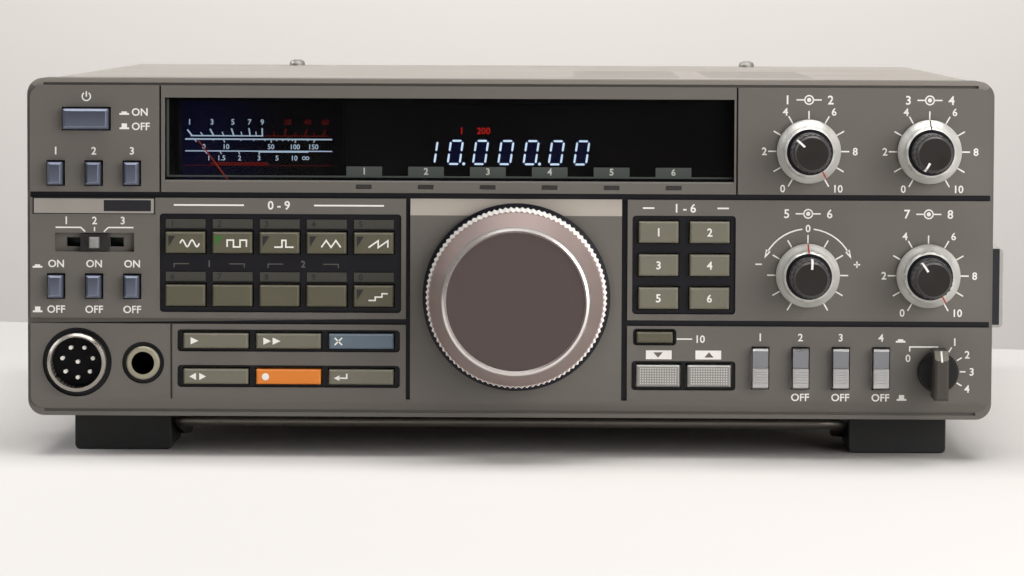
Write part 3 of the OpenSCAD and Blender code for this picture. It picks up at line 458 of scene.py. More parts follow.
def piece_from(name, bm, material, body):
    """Turns a mesh in panel millimetres into a piece that rides on a body"""
    bmesh.ops.recalc_face_normals(bm, faces=bm.faces)
    bm.transform(TO_METRES)
    mesh = bpy.data.meshes.new(name)
    bm.to_mesh(mesh)
    bm.free()
    mesh.materials.append(material)
    piece = bpy.data.objects.new(name, mesh)
    bpy.context.scene.collection.objects.link(piece)
    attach(piece, body)
    return piece


SEAM = 0.002


def rounded(piece, edge, angle=30, segments=2, finish=-1):
    """Rounds a piece's sharp edges, in one of its finishes or in those of the faces beside them"""
    weld = piece.modifiers.new("weld", "WELD")
    weld.merge_threshold = SEAM * MM
    bevel = piece.modifiers.new("edge", "BEVEL")
    bevel.width = edge
    bevel.segments = segments
    bevel.limit_method = "ANGLE"
    bevel.angle_limit = math.radians(angle)
    bevel.material = finish
    normals = piece.modifiers.new("normals", "WEIGHTED_NORMAL")
    normals.keep_sharp = True
    for face in piece.data.polygons:
        face.use_smooth = True
    return piece


def flat(piece, degrees=1.0):
    """Joins the triangles of a CAD face into one face, so that its edges round cleanly"""
    weld = piece.modifiers.new("seams", "WELD")
    weld.merge_threshold = SEAM * MM
    joined = piece.modifiers.new("faces", "DECIMATE")
    joined.decimate_type = "DISSOLVE"
    joined.angle_limit = math.radians(degrees)
    joined.delimit = {"MATERIAL"}
    return piece


def dress(node, finishes, pick=None):
    """Gives a CAD node its finishes: pick chooses one from a face's place on the panel and its normal"""
    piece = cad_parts[node]
    piece.data.materials.clear()
    for finish in finishes:
        piece.data.materials.append(finish)
    for face in piece.data.polygons:
        x, y, z = face.center / MM
        face.material_index = pick(x, y - FACE_Y, z - PANEL_FOOT, face.normal) if pick else 0
    return piece


def loft(bm, rings):
    """Adds a closed solid through rings that have the same number of corners"""
    made = [[bm.verts.new(corner) for corner in ring] for ring in rings]
    for a, b in zip(made, made[1:]):
        for k in range(len(a)):
            bm.faces.new((a[k - 1], b[k - 1], b[k], a[k]))
    bm.faces.new(made[0])
    bm.faces.new(made[-1][::-1])


def prism(bm, outline, front, back):
    """Adds a closed prism: an outline in X and Z, from depth front to depth back"""
    loft(bm, [[(x, y, z) for x, z in outline] for y in (front, back)])


def block(bm, x, z, w, h, front, back):
    """Adds a closed box centred on X and Z"""
    corners = ((-1, -1), (1, -1), (1, 1), (-1, 1))
    prism(bm, [(x + sx * w / 2, z + sz * h / 2) for sx, sz in corners], front, back)


def turned(bm, profile, place, steps=40):
    """Adds a closed solid of revolution: a profile of radius and height about the Z axis of a matrix"""
    rings = []
    for radius, height in profile:
        count = steps if radius > 0 else 1
        turns = [2 * math.pi * k / steps for k in range(count)]
        rings.append([
            bm.verts.new(place @ Vector((radius * math.cos(t), radius * math.sin(t), height))) for t in turns
        ])
    for low, high in zip(rings, rings[1:]):
        for k in range(steps):
            corners = ((low, k), (low, k + 1), (high, k + 1), (high, k))
            corners = list(dict.fromkeys(ring[at % len(ring)] for ring, at in corners))
            if len(corners) > 2:
                bm.faces.new(corners)


def around(x, z, radius, degrees):
    """The point at a clock angle around a centre"""
    turn = math.radians(degrees)
    return x + radius * math.sin(turn), z + radius * math.cos(turn)


def within(x, z, centre, radius):
    """Whether a place lies within a radius of a centre"""
    return math.hypot(x - centre[0], z - centre[1]) < radius


class Print:
    """Flat shapes on one plane that faces the front, in panel millimetres"""

    def __init__(self, depth, thick=INK):
        self.front = depth - thick
        self.back = depth + INK_SINK
        self.bm = bmesh.new()

    def shape(self, outline):
        """A filled outline"""
        prism(self.bm, outline, self.front, self.back)

    def bar(self, x, z, w, h):
        """A filled box"""
        block(self.bm, x, z, w, h, self.front, self.back)

    def line(self, points, width):
        """A line through points, with mitred corners"""
        sides = ([], [])
        for k, here in enumerate(points):
            here = Vector(here)
            into = (here - Vector(points[k - 1])).normalized() if k else None
            out = (Vector(points[k + 1]) - here).normalized() if k + 1 < len(points) else None
            way = ((into or out) + (out or into)).normalized()
            across = Vector((-way.y, way.x)) * width / 2 / max(0.4, way.dot(into or out))
            sides[0].append(here - across)
            sides[1].append(here + across)
        self.shape([tuple(p) for p in sides[0] + sides[1][::-1]])

    def arc(self, x, z, radius, first, last, width):
        """A stretch of a ring between two clock angles"""
        count = max(3, int(abs(last - first) / 7))
        turns = [first + (last - first) * k / count for k in range(count + 1)]
        inner = [around(x, z, radius - width / 2, t) for t in turns]
        outer = [around(x, z, radius + width / 2, t) for t in turns]
        self.shape(outer + inner[::-1])

    def ring(self, x, z, radius, width):
        """A whole ring, in two halves"""
        self.arc(x, z, radius, 0, 180, width)
        self.arc(x, z, radius, 180, 360, width)

    def disc(self, x, z, radius):
        """A filled circle"""
        self.shape([around(x, z, radius, 360 * k / 24) for k in range(24)])

    def words(self, text, x, z, height, align=0.5, weight=0.018):
        """Plain figures: height of the figures, align 0 for text to the right of x, 0.5 for centred"""
        curve = bpy.data.curves.new("figures", "FONT")
        curve.body = text
        curve.extrude = 0.1
        curve.offset = weight
        curve.resolution_u = 3
        source = bpy.data.objects.new("figures", curve)
        mesh = bpy.data.meshes.new_from_object(source)
        figures = bmesh.new()
        figures.from_mesh(mesh)
        bmesh.ops.remove_doubles(figures, verts=figures.verts, dist=1e-5)
        low = Vector([min(v.co[k] for v in figures.verts) for k in range(3)])
        high = Vector([max(v.co[k] for v in figures.verts) for k in range(3)])
        size = height / (high.y - low.y)
        for v in figures.verts:
            px = x + (v.co.x - low.x - align * (high.x - low.x)) * size
            pz = z + (v.co.y - (low.y + high.y) / 2) * size
            v.co = (px, self.front if v.co.z > 0 else self.back, pz)
        figures.to_mesh(mesh)
        self.bm.from_mesh(mesh)
        figures.free()
        bpy.data.meshes.remove(mesh)
        bpy.data.objects.remove(source)
        bpy.data.curves.remove(curve)

    def piece(self, name, material, body="cabinet", slot="panel_plastic"):
        """The finished piece"""
        return piece_from(name, self.bm, material, body)


# Places on the panel, in panel millimetres

RINGS = [middle(f"core_knob_{k}") for k in (1, 2, 3, 4)]
POINTER_TURN = (-48, -150, 3, -34)
RING_TURN = (147, 0, 0, 147)
DIAL_START, DIAL_STEP = -150, 30
TICK_IN, TICK_OUT, FIGURE_R = 9.0, 11.3, 12.75
FIGURE_SHIFT, END_RISE = {0: -0.8, 2: 0.4, 4: -0.2, 6: 0.6, 8: 0.2, 10: 2.0}, 0.65
SELECTOR = middle("selector_knob")
TUNING = middle("tuning_knob")
UPPER = [middle(f"upper_button_{k}") for k in (1, 2, 3)]
LOWER = [middle(f"lower_button_{k}") for k in (1, 2, 3)]
PUSH = [middle(f"push_button_{k}") for k in (1, 2, 3, 4)]
MODE = [middle(f"mode_key_{k}") for k in range(1, 11)]
MEMORY = [middle(f"memory_key_{k}") for k in range(1, 7)]
FUNCTION = [middle(f"function_key_{k}") for k in range(1, 7)]
BAND = [middle(f"band_key_{k}") for k in (1, 2)]
SLIDE = middle("meter_switch")
STEP = middle("step_key")
PLATE = (-116.2, 59.05)
PLATE_RISE = 0.4
MIC = (-121.0, 15.1)
JACK = (-102.5, 15.0)
WINDOW_LOW, WINDOW_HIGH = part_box("display_window")
LAMP_X = [2.5 + (k - 2.5) * 17.3 for k in range(6)]
WINDOW_FOOT = PANEL_H - 28.3


# Front panel


# Edges of the panel's zones
RIM_W = 2.05
RIM_BACK = 2.0
REAR_FACES = 4.05
INNER_HALF, GROOVE_END = 133.9, 134.2
GROOVES_Z, GROOVE_HALF, GROOVE_BACK = (62.1, 26.8), 0.9, 2.6
SOCKET_BLOCK_X, SOCKET_BLOCK_Z = -93.7, 27.7
CORNER_X, CORNER_H = 129, 6
# Radii of the microphone and jack recesses, whose inner faces are painted black as shade
MIC_POCKET_R, JACK_POCKET_R = 10, 6.3
SLIDE_HALF_W, SLIDE_HALF_H = 11.5, 3.5
SLOPE_LOW, SLOPE_HIGH = 56, 61.6
NEAR = 0.05


def panel_finish(x, y, z, normal):
    """Finish of a panel face: 0 grain, 1 pocket or groove, 2 number pad, 3 nameplate, 4 slope, 5 top rim; 4
    and 5 are paler as painted highlight
    """
    if y < -0.01:
        return 3
    # The top rim takes a paler copy of the panel's finish: painted highlight along the upper edge
    if z > PANEL_H - RIM_W and y < RIM_BACK:
        return 5
    level = normal.y < -0.99
    if level and abs(y - PAD_FRONT) < NEAR:
        return 2
    if y > REAR_FACES or (level and (y < NEAR or abs(y - SLIDE_FLOOR) < NEAR)):
        return 0
    corner = abs(x) > CORNER_X and not CORNER_H < z < PANEL_H - CORNER_H
    # Walls and floors of the microphone and jack recesses take the black pocket finish: painted shade
    if corner or (x < SOCKET_BLOCK_X and z < SOCKET_BLOCK_Z):
        return int(within(x, z, MIC, MIC_POCKET_R) or within(x, z, JACK, JACK_POCKET_R))
    if abs(x - SLIDE[0]) < SLIDE_HALF_W and abs(z - SLIDE[2]) < SLIDE_HALF_H:
        return 0
    if not (abs(x) < INNER_HALF and RIM_W < z < PANEL_H - RIM_W):
        groove = any(abs(z - level_z) < GROOVE_HALF for level_z in GROOVES_Z)
        return int(groove and 0.01 < y < GROOVE_BACK and abs(x) < GROOVE_END)
    sloped = -0.99 < normal.y < -0.3
    # The slope band takes the paler finish: painted highlight
    if sloped and SLOPE_LOW < z < SLOPE_HIGH:
        return 4
    return 0 if sloped else 1


class RADIO_OT_front_panel(bpy.types.Operator):
    """Finish the front panel: grained face, black pockets and grooves, number pads and a bare nameplate"""

    bl_idname = "radio.front_panel"
    bl_label = "Front Panel"

    def execute(self, context):
        colours = context.scene.radio_colours
        finishes = (
            spark_grained_abs(colours.panel), polished_black_abs(colours.pocket), screened_pad(colours.pad),
            brushed_plate(colours.plate), smooth_abs(colours.slope),
            # A paler copy of the panel's finish for the top rim: painted highlight
            spark_grained_abs(shade(colours.panel, 1.8), "painted_highlight_rim_abs"),
        )
        panel = dress("front_panel", finishes, panel_finish)
        rounded(flat(panel), context.scene.radio_sizes.panel_edge, finish=0)
        plate_x, plate_z = PLATE
        frame_line, field = Print(0.0), Print(-PLATE_RISE)
        for s in (-1, 1):
            frame_line.bar(plate_x, plate_z + s * 2.2, 34.4, 0.35)
            frame_line.bar(plate_x + s * 17.0, plate_z, 0.35, 4.6)
        field.bar(plate_x + 9.4, plate_z, 13.2, 3.1)
        dark = screen_ink("nameplate_screen_ink", colours.pocket)
        frame_line.piece("nameplate_outline", dark)
        field.piece("nameplate_field", dark)
        return {"FINISHED"}


# Panel print


def push_sign(ink, x, z, rise):
    """The sign of a latching button: a base line with a cap that stands out or in"""
    ink.bar(x, z - 0.55, 2.7, 0.5)
    ink.bar(x, z - 0.3 + rise / 2, 1.5, rise)


def power_group(ink, label_h, line_w):
    """Sign of the power button, with its two states"""
    x, _, z = middle("power_button")
    ink.arc(x, z + 6.2, 1.15, 35, 325, line_w)
    ink.bar(x, z + 6.9, line_w, 1.5)
    for word, rise, state in (("ON", 1.9, 0.45), ("OFF", -2.1, 1.1)):
        ink.words(word, x + 12.7, z + rise, label_h, align=0)
        push_sign(ink, x + 10.6, z + rise, state)


def switch_group(ink, label_h, line_w):
    """Figures at the small buttons and at the slide switch"""
    for k, (x, _, z) in enumerate(UPPER):
        ink.words(str(k + 1), x, z + 6.25, label_h)
    for x, _, z in LOWER:
        ink.words("ON", x, z + 6.3, label_h)
        ink.words("OFF", x, z - 6.5, label_h)
    left, _, level = LOWER[0]
    push_sign(ink, left - 5.2, level + 5.9, 0.45)
    push_sign(ink, left - 5.2, level - 6.6, 1.1)
    x, _, z = SLIDE
    for k in (-1, 0, 1):
        ink.words(str(k + 2), x + 7.9 * k, z + 6.1, label_h)
    ink.line([(x, z + 4.3), (x, z + 3.05)], line_w)
    for s in (-1, 1):
        ink.line([(x + s * 10.9, z + 4.15), (x + s * 3.85, z + 4.15), (x + s * 2.6, z + 2.95)], line_w)


def group_title(ink, text, x, z, half_text, half, height, line_w):
    """A title between two lines"""
    ink.words(text, x, z, height)
    for s in (-1, 1):
        ink.line([(x + s * half_text, z), (x + s * half, z)], line_w * 1.2)


def dial_print(ink, k, title_h, label_h, line_w):
    """Title sign, ticks and figures around a dual knob"""
    x, _, z = RINGS[k]
    title_z = z + (14.35 if k < 2 else 17.2)
    ink.ring(x, title_z, 1.2, line_w)
    ink.disc(x, title_z, 0.6)
    for s, figure in ((-1, 2 * k + 1), (1, 2 * k + 2)):
        ink.line([(x + s * 1.25, title_z), (x + s * 3.5, title_z)], line_w)
        ink.words(str(figure), x + s * 6.0, title_z, title_h)
    for step in range(11):
        turn = DIAL_START + DIAL_STEP * step
        ink.line([around(x, z, TICK_IN, turn), around(x, z, TICK_OUT, turn)], line_w)
    if k == 2:
        arrow_print(ink, x, z, label_h, line_w)
        return
    for step in range(0, 11, 2):
        fx, fz = around(x, z, FIGURE_R, DIAL_START + DIAL_STEP * step)
        ink.words(str(step), fx + FIGURE_SHIFT[step], fz + END_RISE * (step in (0, 10)), label_h)


def arrow_print(ink, x, z, label_h, line_w):
    """Two curved arrows that part at the middle, for a knob that shifts either way"""
    ink.words("0", x, z + 13.1, label_h)
    for s in (-1, 1):
        ink.arc(x, z, 13.0, s * 7, s * 62, line_w)
        tip = around(x, z, 13.0, s * 69)
        ink.shape([tip, around(x, z, 13.75, s * 58), around(x, z, 12.25, s * 58)][::s])
        ink.line([(x + s * 13.7 - 0.9, z + 3.05), (x + s * 13.7 + 0.9, z + 3.05)], line_w)
    ink.line([(x + 13.7, z + 2.15), (x + 13.7, z + 3.95)], line_w)


def selector_print(ink, label_h, line_w):
    """Figures 0 to 4 around the selector, with a bracket to the first"""
    x, _, z = SELECTOR
    ink.line([(x - 7.75, z + 5.6), (x - 7.75, z + 6.9), (x + 0.2, z + 6.9)], line_w)
    ink.words("0", x - 8.2, z + 3.7, label_h)
    for step in range(1, 5):
        turn = 30 * step
        ink.line([around(x, z, 6.3, turn), around(x, z, 7.9, turn)], line_w)
        fx, fz = around(x, z, 9.6, turn)
        ink.words(str(step), fx, fz, label_h)


def lower_print(ink, arrows, label_h, line_w):
    """Step key line, arrow boxes over the band keys and figures at the push buttons"""
    x, _, z = STEP
    ink.line([(x + 6.2, z - 0.5), (x + 10.5, z - 0.5)], line_w)
    ink.words("10", x + 11.7, z - 0.5, label_h, align=0)
    for s, (bx, _, bz) in zip((-1, 1), BAND):
        ink.bar(bx - s * 0.2, bz + 5.85, 7.2, 2.5)
        foot, tip = bz + 5.85 - s * 0.7, bz + 5.85 + s * 0.8
        arrows.shape([(bx - 1.3, foot), (bx + 1.3, foot), (bx, tip)][::s])
    for k, (px, _, pz) in enumerate(PUSH):
        ink.words(str(k + 1), px, pz + 8.6, label_h)
        if k:
            ink.words("OFF", px, pz - 8.2, label_h)
    push_sign(ink, PUSH[3][0] + 5.5, PUSH[3][2] + 8.1, 0.45)
    push_sign(ink, PUSH[3][0] + 5.9, PUSH[3][2] - 8.2, 1.1)


def pocket_print(colours):
    """Dim brackets on the floor of the mode pocket and dark figures on its number pads"""
    dim = Print(POCKET_FLOOR)
    row = (MODE[0][2] + MODE[5][2]) / 2 + 1.35
    for figure, first in ((1, 0), (2, 2)):
        left, right = MODE[first][0] - 3.3, MODE[first + 1][0] + 3.2
        dim.words(str(figure), (left + right) / 2, row, 1.9)
        dim.line([(left, row - 1.1), (left, row), (left + 4.2, row)], 0.28)
        dim.line([(right, row - 1.1), (right, row), (right - 4.2, row)], 0.28)
    dim.piece("mode_pocket_brackets", screen_ink("dim_screen_ink", colours.dim_ink))
    dark = Print(PAD_FRONT)
    for k, (x, _, z) in enumerate(MODE):
        dark.words(str((k + 1) % 10), x - 3.7, z + 5.2, 1.75)
    dark.piece("number_pad_figures", screen_ink("dark_screen_ink", colours.dark_ink))


class RADIO_OT_panel_print(bpy.types.Operator):
    """Print plain figures, ticks, brackets and switch signs on the front panel"""

    bl_idname = "radio.panel_print"
    bl_label = "Panel Print"

    def execute(self, context):
        sizes, colours = context.scene.radio_sizes, context.scene.radio_colours
        title_h, label_h, line_w = (s / MM for s in (sizes.title_h, sizes.label_h, sizes.line_w))
        ink, arrows = Print(0.0), Print(-INK)
        power_group(ink, label_h, line_w)
        switch_group(ink, label_h, line_w)
        group_title(ink, "0 - 9", MODE[2][0] - 0.2, 59.3, 9.8, 29.4, title_h, line_w)
        function_x = (FUNCTION[0][0] + FUNCTION[1][0]) / 2 + 0.45
        group_title(ink, "1 - 6", function_x, 59.0, 8.8, 12.0, title_h, line_w)
        for k in range(4):
            dial_print(ink, k, title_h, label_h, line_w)
        selector_print(ink, label_h, line_w)
        lower_print(ink, arrows, label_h, line_w)
        ink.piece("panel_print", screen_ink("pale_screen_ink", colours.ink))
        arrows.piece("band_arrows", screen_ink("arrow_screen_ink", colours.panel))
        pocket_print(colours)
        return {"FINISHED"}


# Keys


def wave(x, z, kind, width=5.4, height=1.9):
    """Points of a plain wave sign: sine, square, triangle, saw, step or pulse"""
    shapes = {
        "square": ((0, -1), (0, 1), (0.33, 1), (0.33, -1), (0.67, -1), (0.67, 1), (1, 1), (1, -1)),
        "triangle": ((0, -1), (0.25, 1), (0.5, -1), (0.75, 1), (1, -1)),
        "saw": ((0, -1), (0.5, 1), (0.5, -1), (1, 1), (1, -1)),
        "step": ((0, -1), (0.35, -1), (0.35, 0), (0.7, 0), (0.7, 1), (1, 1)),
        "pulse": ((0, -1), (0.4, -1), (0.4, 1), (0.6, 1), (0.6, -1), (1, -1)),
    }
    if kind == "sine":
        points = [(k / 16, math.sin(4 * math.pi * k / 16)) for k in range(17)]
    else:
        points = shapes[kind]
    return [(x + (px - 0.5) * width, z + pz * height / 2) for px, pz in points]


def mode_marks(colours):
    """Wave sign and corner lamp of each mode key"""
    ink = screen_ink("key_screen_ink", colours.ink)
    dark = key_abs("unlit_lamp_film", hex_colour("#1f1f24"))
    green = lit_segment("lit_green_lamp", hex_colour("#3f9a2c"), 0.35, 1.5)
    kinds = {1: "sine", 2: "square", 3: "pulse", 4: "triangle", 5: "saw", 10: "step"}
    for k, kind in kinds.items():
        x, front, z = MODE[k - 1]
        sign = Print(front)
        sign.line(wave(x + 1.3, z - 0.2, kind), 0.42)
        sign.piece(f"mode_key_{k}_sign", ink, f"mode_key_{k}", "key_khaki")
        lamp = Print(front)
        lamp.shape([(x - 4.7, z + 1.9), (x - 4.6, z - 1.1), (x - 2.7, z + 1.9)])
        lamp.piece(f"mode_key_{k}_lamp", green if k == 2 else dark, f"mode_key_{k}", "display_black")


def memory_marks(colours):
    """Plain arrow and stop signs of the memory keys"""
    ink = screen_ink("memory_screen_ink", colours.ink)
    for k, (x, front, z) in enumerate(MEMORY):
        sign = Print(front)
        left, half = x - 7.4, 1.0
        if k in (0, 1):
            for step in range(k + 1):
                foot = left + 0.4 + step * 2.6
                sign.shape([(foot, z - half), (foot + 2.2, z), (foot, z + half)])
        elif k == 2:
            sign.line([(left, z - half), (left + 2.1, z + half)], 0.42)
            sign.line([(left, z + half), (left + 2.1, z - half)], 0.42)
        elif k == 3:
            sign.shape([(left, z), (left + 1.9, z - half), (left + 1.9, z + half)])
            sign.shape([(left + 2.8, z - half), (left + 4.7, z), (left + 2.8, z + half)])
        elif k == 4:
            sign.disc(left + 1.0, z, half)
        else:
            sign.line([(left + 3.4, z + half), (left + 3.4, z - 0.3), (left + 1.2, z - 0.3)], 0.42)
            sign.shape([(left - 0.2, z - 0.3), (left + 1.4, z - 1.1), (left + 1.4, z + 0.5)])
        sign.piece(f"memory_key_{k + 1}_sign", ink, f"memory_key_{k + 1}", "key_khaki")


def function_marks(colours):
    """Plain figures of the function keys"""
    ink = screen_ink("function_screen_ink", colours.ink)
    for k, (x, front, z) in enumerate(FUNCTION):
        sign = Print(front)
        sign.words(str(k + 1), x, z, 2.3)
        sign.piece(f"function_key_{k + 1}_sign", ink, f"function_key_{k + 1}", "key_khaki")


def band_dots(finish):
    """Raised dots over the face of each band key"""
    columns, rows, pitch = 15, 7, 0.7
    for k, (x, front, z) in enumerate(BAND):
        bm = bmesh.new()
        for c in range(columns):
            for r in range(rows):
                dx, dz = (c - (columns - 1) / 2) * pitch, (r - (rows - 1) / 2) * pitch
                block(bm, x + dx, z + dz, 0.4, 0.4, front - 0.14, front + 0.05)
        piece_from(f"band_key_{k + 1}_dots", bm, finish, f"band_key_{k + 1}")


class RADIO_OT_keys(bpy.types.Operator):
    """Finish the mode, memory, function, step and band keys with their signs and dots"""

    bl_idname = "radio.keys"
    bl_label = "Keys"

    def execute(self, context):
        colours, edge = context.scene.radio_colours, context.scene.radio_sizes.key_edge
        khaki, pale = key_abs("khaki_key_abs", colours.key), key_abs("pale_khaki_key_abs", colours.key_pale)
        blue = key_abs("blue_key_abs", colours.key_blue)
        orange = key_abs("orange_key_abs", colours.key_orange)
        band = metallised_button("silver_key_lacquer", colours.band, 0.4)
        finishes = {f"mode_key_{k}": khaki for k in range(1, 11)}
        finishes |= {f"{kind}_key_{k}": pale for kind in ("memory", "function") for k in range(1, 7)}
        finishes |= {"step_key": khaki, "memory_key_3": blue, "memory_key_5": orange}
        finishes |= {"band_key_1": band, "band_key_2": band}
        for node, finish in finishes.items():
            rounded(flat(dress(node, [finish])), edge)
        mode_marks(colours)
        memory_marks(colours)
        function_marks(colours)
        # The raised dots take a paler lacquer than their keys: painted highlight
        band_dots(metallised_button("dot_highlight_lacquer", hex_colour("#dcdcd8"), 0.36))
        return {"FINISHED"}


# Buttons


def slide_finish(x, y, z, normal):
    """Finish of a slide switch face: 0 carriage, 1 nub, 2 flange behind the panel's well"""
    if y < -0.25:
        return 1
    return 2 if y > 2.1 else 0


class RADIO_OT_buttons(bpy.types.Operator):
    """Finish the power button, the small buttons, the push buttons and the slide switch"""

    bl_idname = "radio.buttons"
    bl_label = "Buttons"

    def execute(self, context):
        colours, edge = context.scene.radio_colours, context.scene.radio_sizes.key_edge
        # The buttons' side walls take a darker copy of their lacquer: painted shade
        edges = metallised_button("shaded_side_lacquer", shade(colours.button, 0.75), 0.4)
        silver = metallised_button("silver_lacquer", colours.push, 0.3)
        black = matt_black_abs("black_slide_abs", colours.knob_black)
        grey = key_abs("grey_nub_abs", hex_colour("#8b8b8a"))
        rows = {row: [f"{row}_button_{k}" for k in (1, 2, 3)] for row in ("upper", "lower")}
        for row, nodes in (("power", ["power_button"]), *rows.items()):
            low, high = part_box(nodes[0])
            span = [z / MM - PANEL_FOOT for z in (low.z, high.z)]
            # Each row's lacquer runs from pale at the foot to dark at the top: painted highlight and shade
            metal = metallised_button(f"{row}_blue_grey_lacquer", colours.button, 0.34, span)
            for node in nodes:
                button = dress(node, [metal, edges], lambda x, y, z, n: int(abs(n.x) > 0.3))
                rounded(flat(button), edge)
        field = metallised_button("grey_field_lacquer", colours.push_field, 0.36)
        middle_z = PUSH[0][2] + 0.32
        for k in (1, 2, 3, 4):
            dress(f"push_button_{k}", [silver, field], lambda x, y, z, n: int(n.y < -0.9 and z > middle_z))
        nub = dress("meter_switch", [black, grey, spark_grained_abs(colours.panel)], slide_finish)
        rounded(flat(nub), edge * 0.7)
        return {"FINISHED"}


# Knobs


# Tuning knob: its gap to the panel, and where its turned zones end
KNOB_GAP = 0.8
SKIRT_TOP = 2.65
DISC_R, DISC_DEEP = 19.2, 1.2
RIM_DEEP, CONE_DEEP = 1.5, 11.1


def tuning_finish(x, y, z, normal):
    """Finish of a tuning knob face: 0 knurl, 1 skirt, 2 cone, 3 bright rim, 4 face disc"""
    out = -y - KNOB_GAP
    deep = -TUNING[1] - KNOB_GAP - out
    if out < SKIRT_TOP:
        return 1
    if within(x, z, TUNING[::2], DISC_R) and deep < DISC_DEEP:
        return 4
    if deep < RIM_DEEP:
        return 3
    return 2 if deep < CONE_DEEP else 0


class RADIO_OT_tuning_knob(bpy.types.Operator):
    """Finish the tuning knob: black skirt, bright knurl, satin cone, bright rim and grained disc"""

    bl_idname = "radio.tuning_knob"
    bl_label = "Tuning Knob"

    def execute(self, context):
        colours = context.scene.radio_colours
        centre = TO_METRES @ Vector((TUNING[0], 0.0, TUNING[2]))
        finishes = (
            plated("blasted_bright_knurl", 0.5, "#f4f3f1", 0.35),
            matt_black_abs("skirt_abs", hex_colour("#0b0b15"), 0.3),
            satin_anodised("satin_anodised_cone", shade(colours.knob_cone, 0.82), 0.42, centre, 0.65),
            satin_anodised("diamond_cut_rim", hex_colour("#e2dcd9"), 0.33, centre, 0.85),
            leather_grain_disc(colours.knob_face),
        )
        dress("tuning_knob", finishes, tuning_finish)
        return {"FINISHED"}


def stripe(knob, name, path, half, turn, finish):
    """A painted stripe at a clock angle on a knob: a path of distance from its axis and height"""
    film = 0.06
    corners = ((-half, film), (half, film), (half, -film), (-half, -film))
    x, _, z = middle(knob)
    place = Matrix.Translation((x, 0, z)) @ Matrix.Rotation(math.radians(turn), 4, "Y")
    rings = []
    for k, (reach, out) in enumerate(path):
        before, after = path[max(k - 1, 0)], path[min(k + 1, len(path) - 1)]
        way = (Vector(after) - Vector(before)).normalized()
        ring = [Vector((side, -out - lift * way.x, reach - lift * way.y)) for side, lift in corners]
        rings.append([place @ corner for corner in ring])
    bm = bmesh.new()
    loft(bm, rings)
    piece_from(f"{knob}_{name}", bm, finish, knob)


# Dual knobs: radius of the shoulder painted dark as the shade of the gap to the centre knob, and paths of the
# painted stripes over their profiles
SHOULDER_R = 6.45
FLANGE_LINE = ((6.5, 6.95), (7.0, 6.35), (7.3, 4.2), (7.75, 3.62), (8.5, 2.55), (8.75, 2.05))
CORE_LINE = ((2.8, 20.0), (4.4, 20.0), (4.9, 19.4), (5.0, 18.85), (5.42, 18.75), (5.42, 15.0))
SELECTOR_LINE = ((3.9, 16.0), (4.27, 16.0), (6.7, 12.73))


class RADIO_OT_dual_knobs(bpy.types.Operator):
    """Finish the four dual knobs: chrome rings with a mark, black centre knobs with a white line"""

    bl_idname = "radio.dual_knobs"
    bl_label = "Dual Knobs"

    def execute(self, context):
        colours = context.scene.radio_colours
        chrome = plated("satin_chrome_ring", 0.4, "#dcdcd8", 0.6)
        gap = matt_black_abs("ring_gap_painted_shade", hex_colour("#0b0b15"), 0.3)
        # The centre knobs' sides are paler than their front discs: painted sheen on the ridges
        ridge_sheen = matt_black_abs("painted_sheen_knob_ridges", hex_colour("#3f3e3e"))
        disc = matt_black_abs("centre_knob_disc", hex_colour("#1c1816"), 0.35)
        ink = screen_ink("pointer_paint", colours.ink)
        red, dark = screen_ink("red_mark_paint", colours.red), screen_ink("dark_mark_paint", colours.dark_ink)
        for k, (x, front, z) in enumerate(RINGS):
            ring, core = f"ring_knob_{k + 1}", f"core_knob_{k + 1}"
            centre = (x, z)
            # Front faces of the ring inside the shoulder are near black: painted shade of the gap to the
            # centre knob
            dress(ring, [chrome, gap], lambda px, y, pz, n: int(
                n.y < -0.95 and within(px, pz, centre, SHOULDER_R)
            ))
            dress(core, [ridge_sheen, disc], lambda px, y, pz, n: int(y < front + 0.1))
            stripe(ring, "mark", FLANGE_LINE, 0.2, RING_TURN[k], dark if k == 1 else red)
            stripe(core, "pointer", CORE_LINE, 0.3, POINTER_TURN[k], ink)
        return {"FINISHED"}


SELECTOR_SKIRT, SELECTOR_TIP = -3.7, -12


def selector_finish(x, y, z, normal):
    """Finish of a selector face: 0 skirt, 1 bar, 2 slanted tip, paler as painted highlight where it faces up
    """
    if y > SELECTOR_SKIRT:
        return 0
    return 2 if normal.y < -0.3 and normal.z > 0.3 and y < SELECTOR_TIP else 1


class RADIO_OT_selector(bpy.types.Operator):
    """Finish the selector knob with its white line"""

    bl_idname = "radio.selector"
    bl_label = "Selector"

    def execute(self, context):
        colours, edge = context.scene.radio_colours, context.scene.radio_sizes.key_edge
        finishes = (
            matt_black_abs("selector_skirt_abs", hex_colour("#121214"), 0.35),
            matt_black_abs("selector_bar_abs", hex_colour("#3a352f")),
            # The upward slanted tip is paler: painted highlight
            matt_black_abs("painted_highlight_selector_tip", hex_colour("#6a655d")),
        )
        selector = dress("selector_knob", finishes, selector_finish)
        rounded(flat(selector), edge)
        ink = screen_ink("selector_paint", colours.ink)
        stripe("selector_knob", "pointer", SELECTOR_LINE, 0.24, 0, ink)
        return {"FINISHED"}


# Window, meter and display

SEGMENTS = {
    "0": "abcdef", "1": "bc", "2": "abged", "3": "abgcd", "4": "fgbc",
    "5": "afgcd", "6": "afgedc", "7": "abc", "8": "abcdefg", "9": "abcdfg",
}


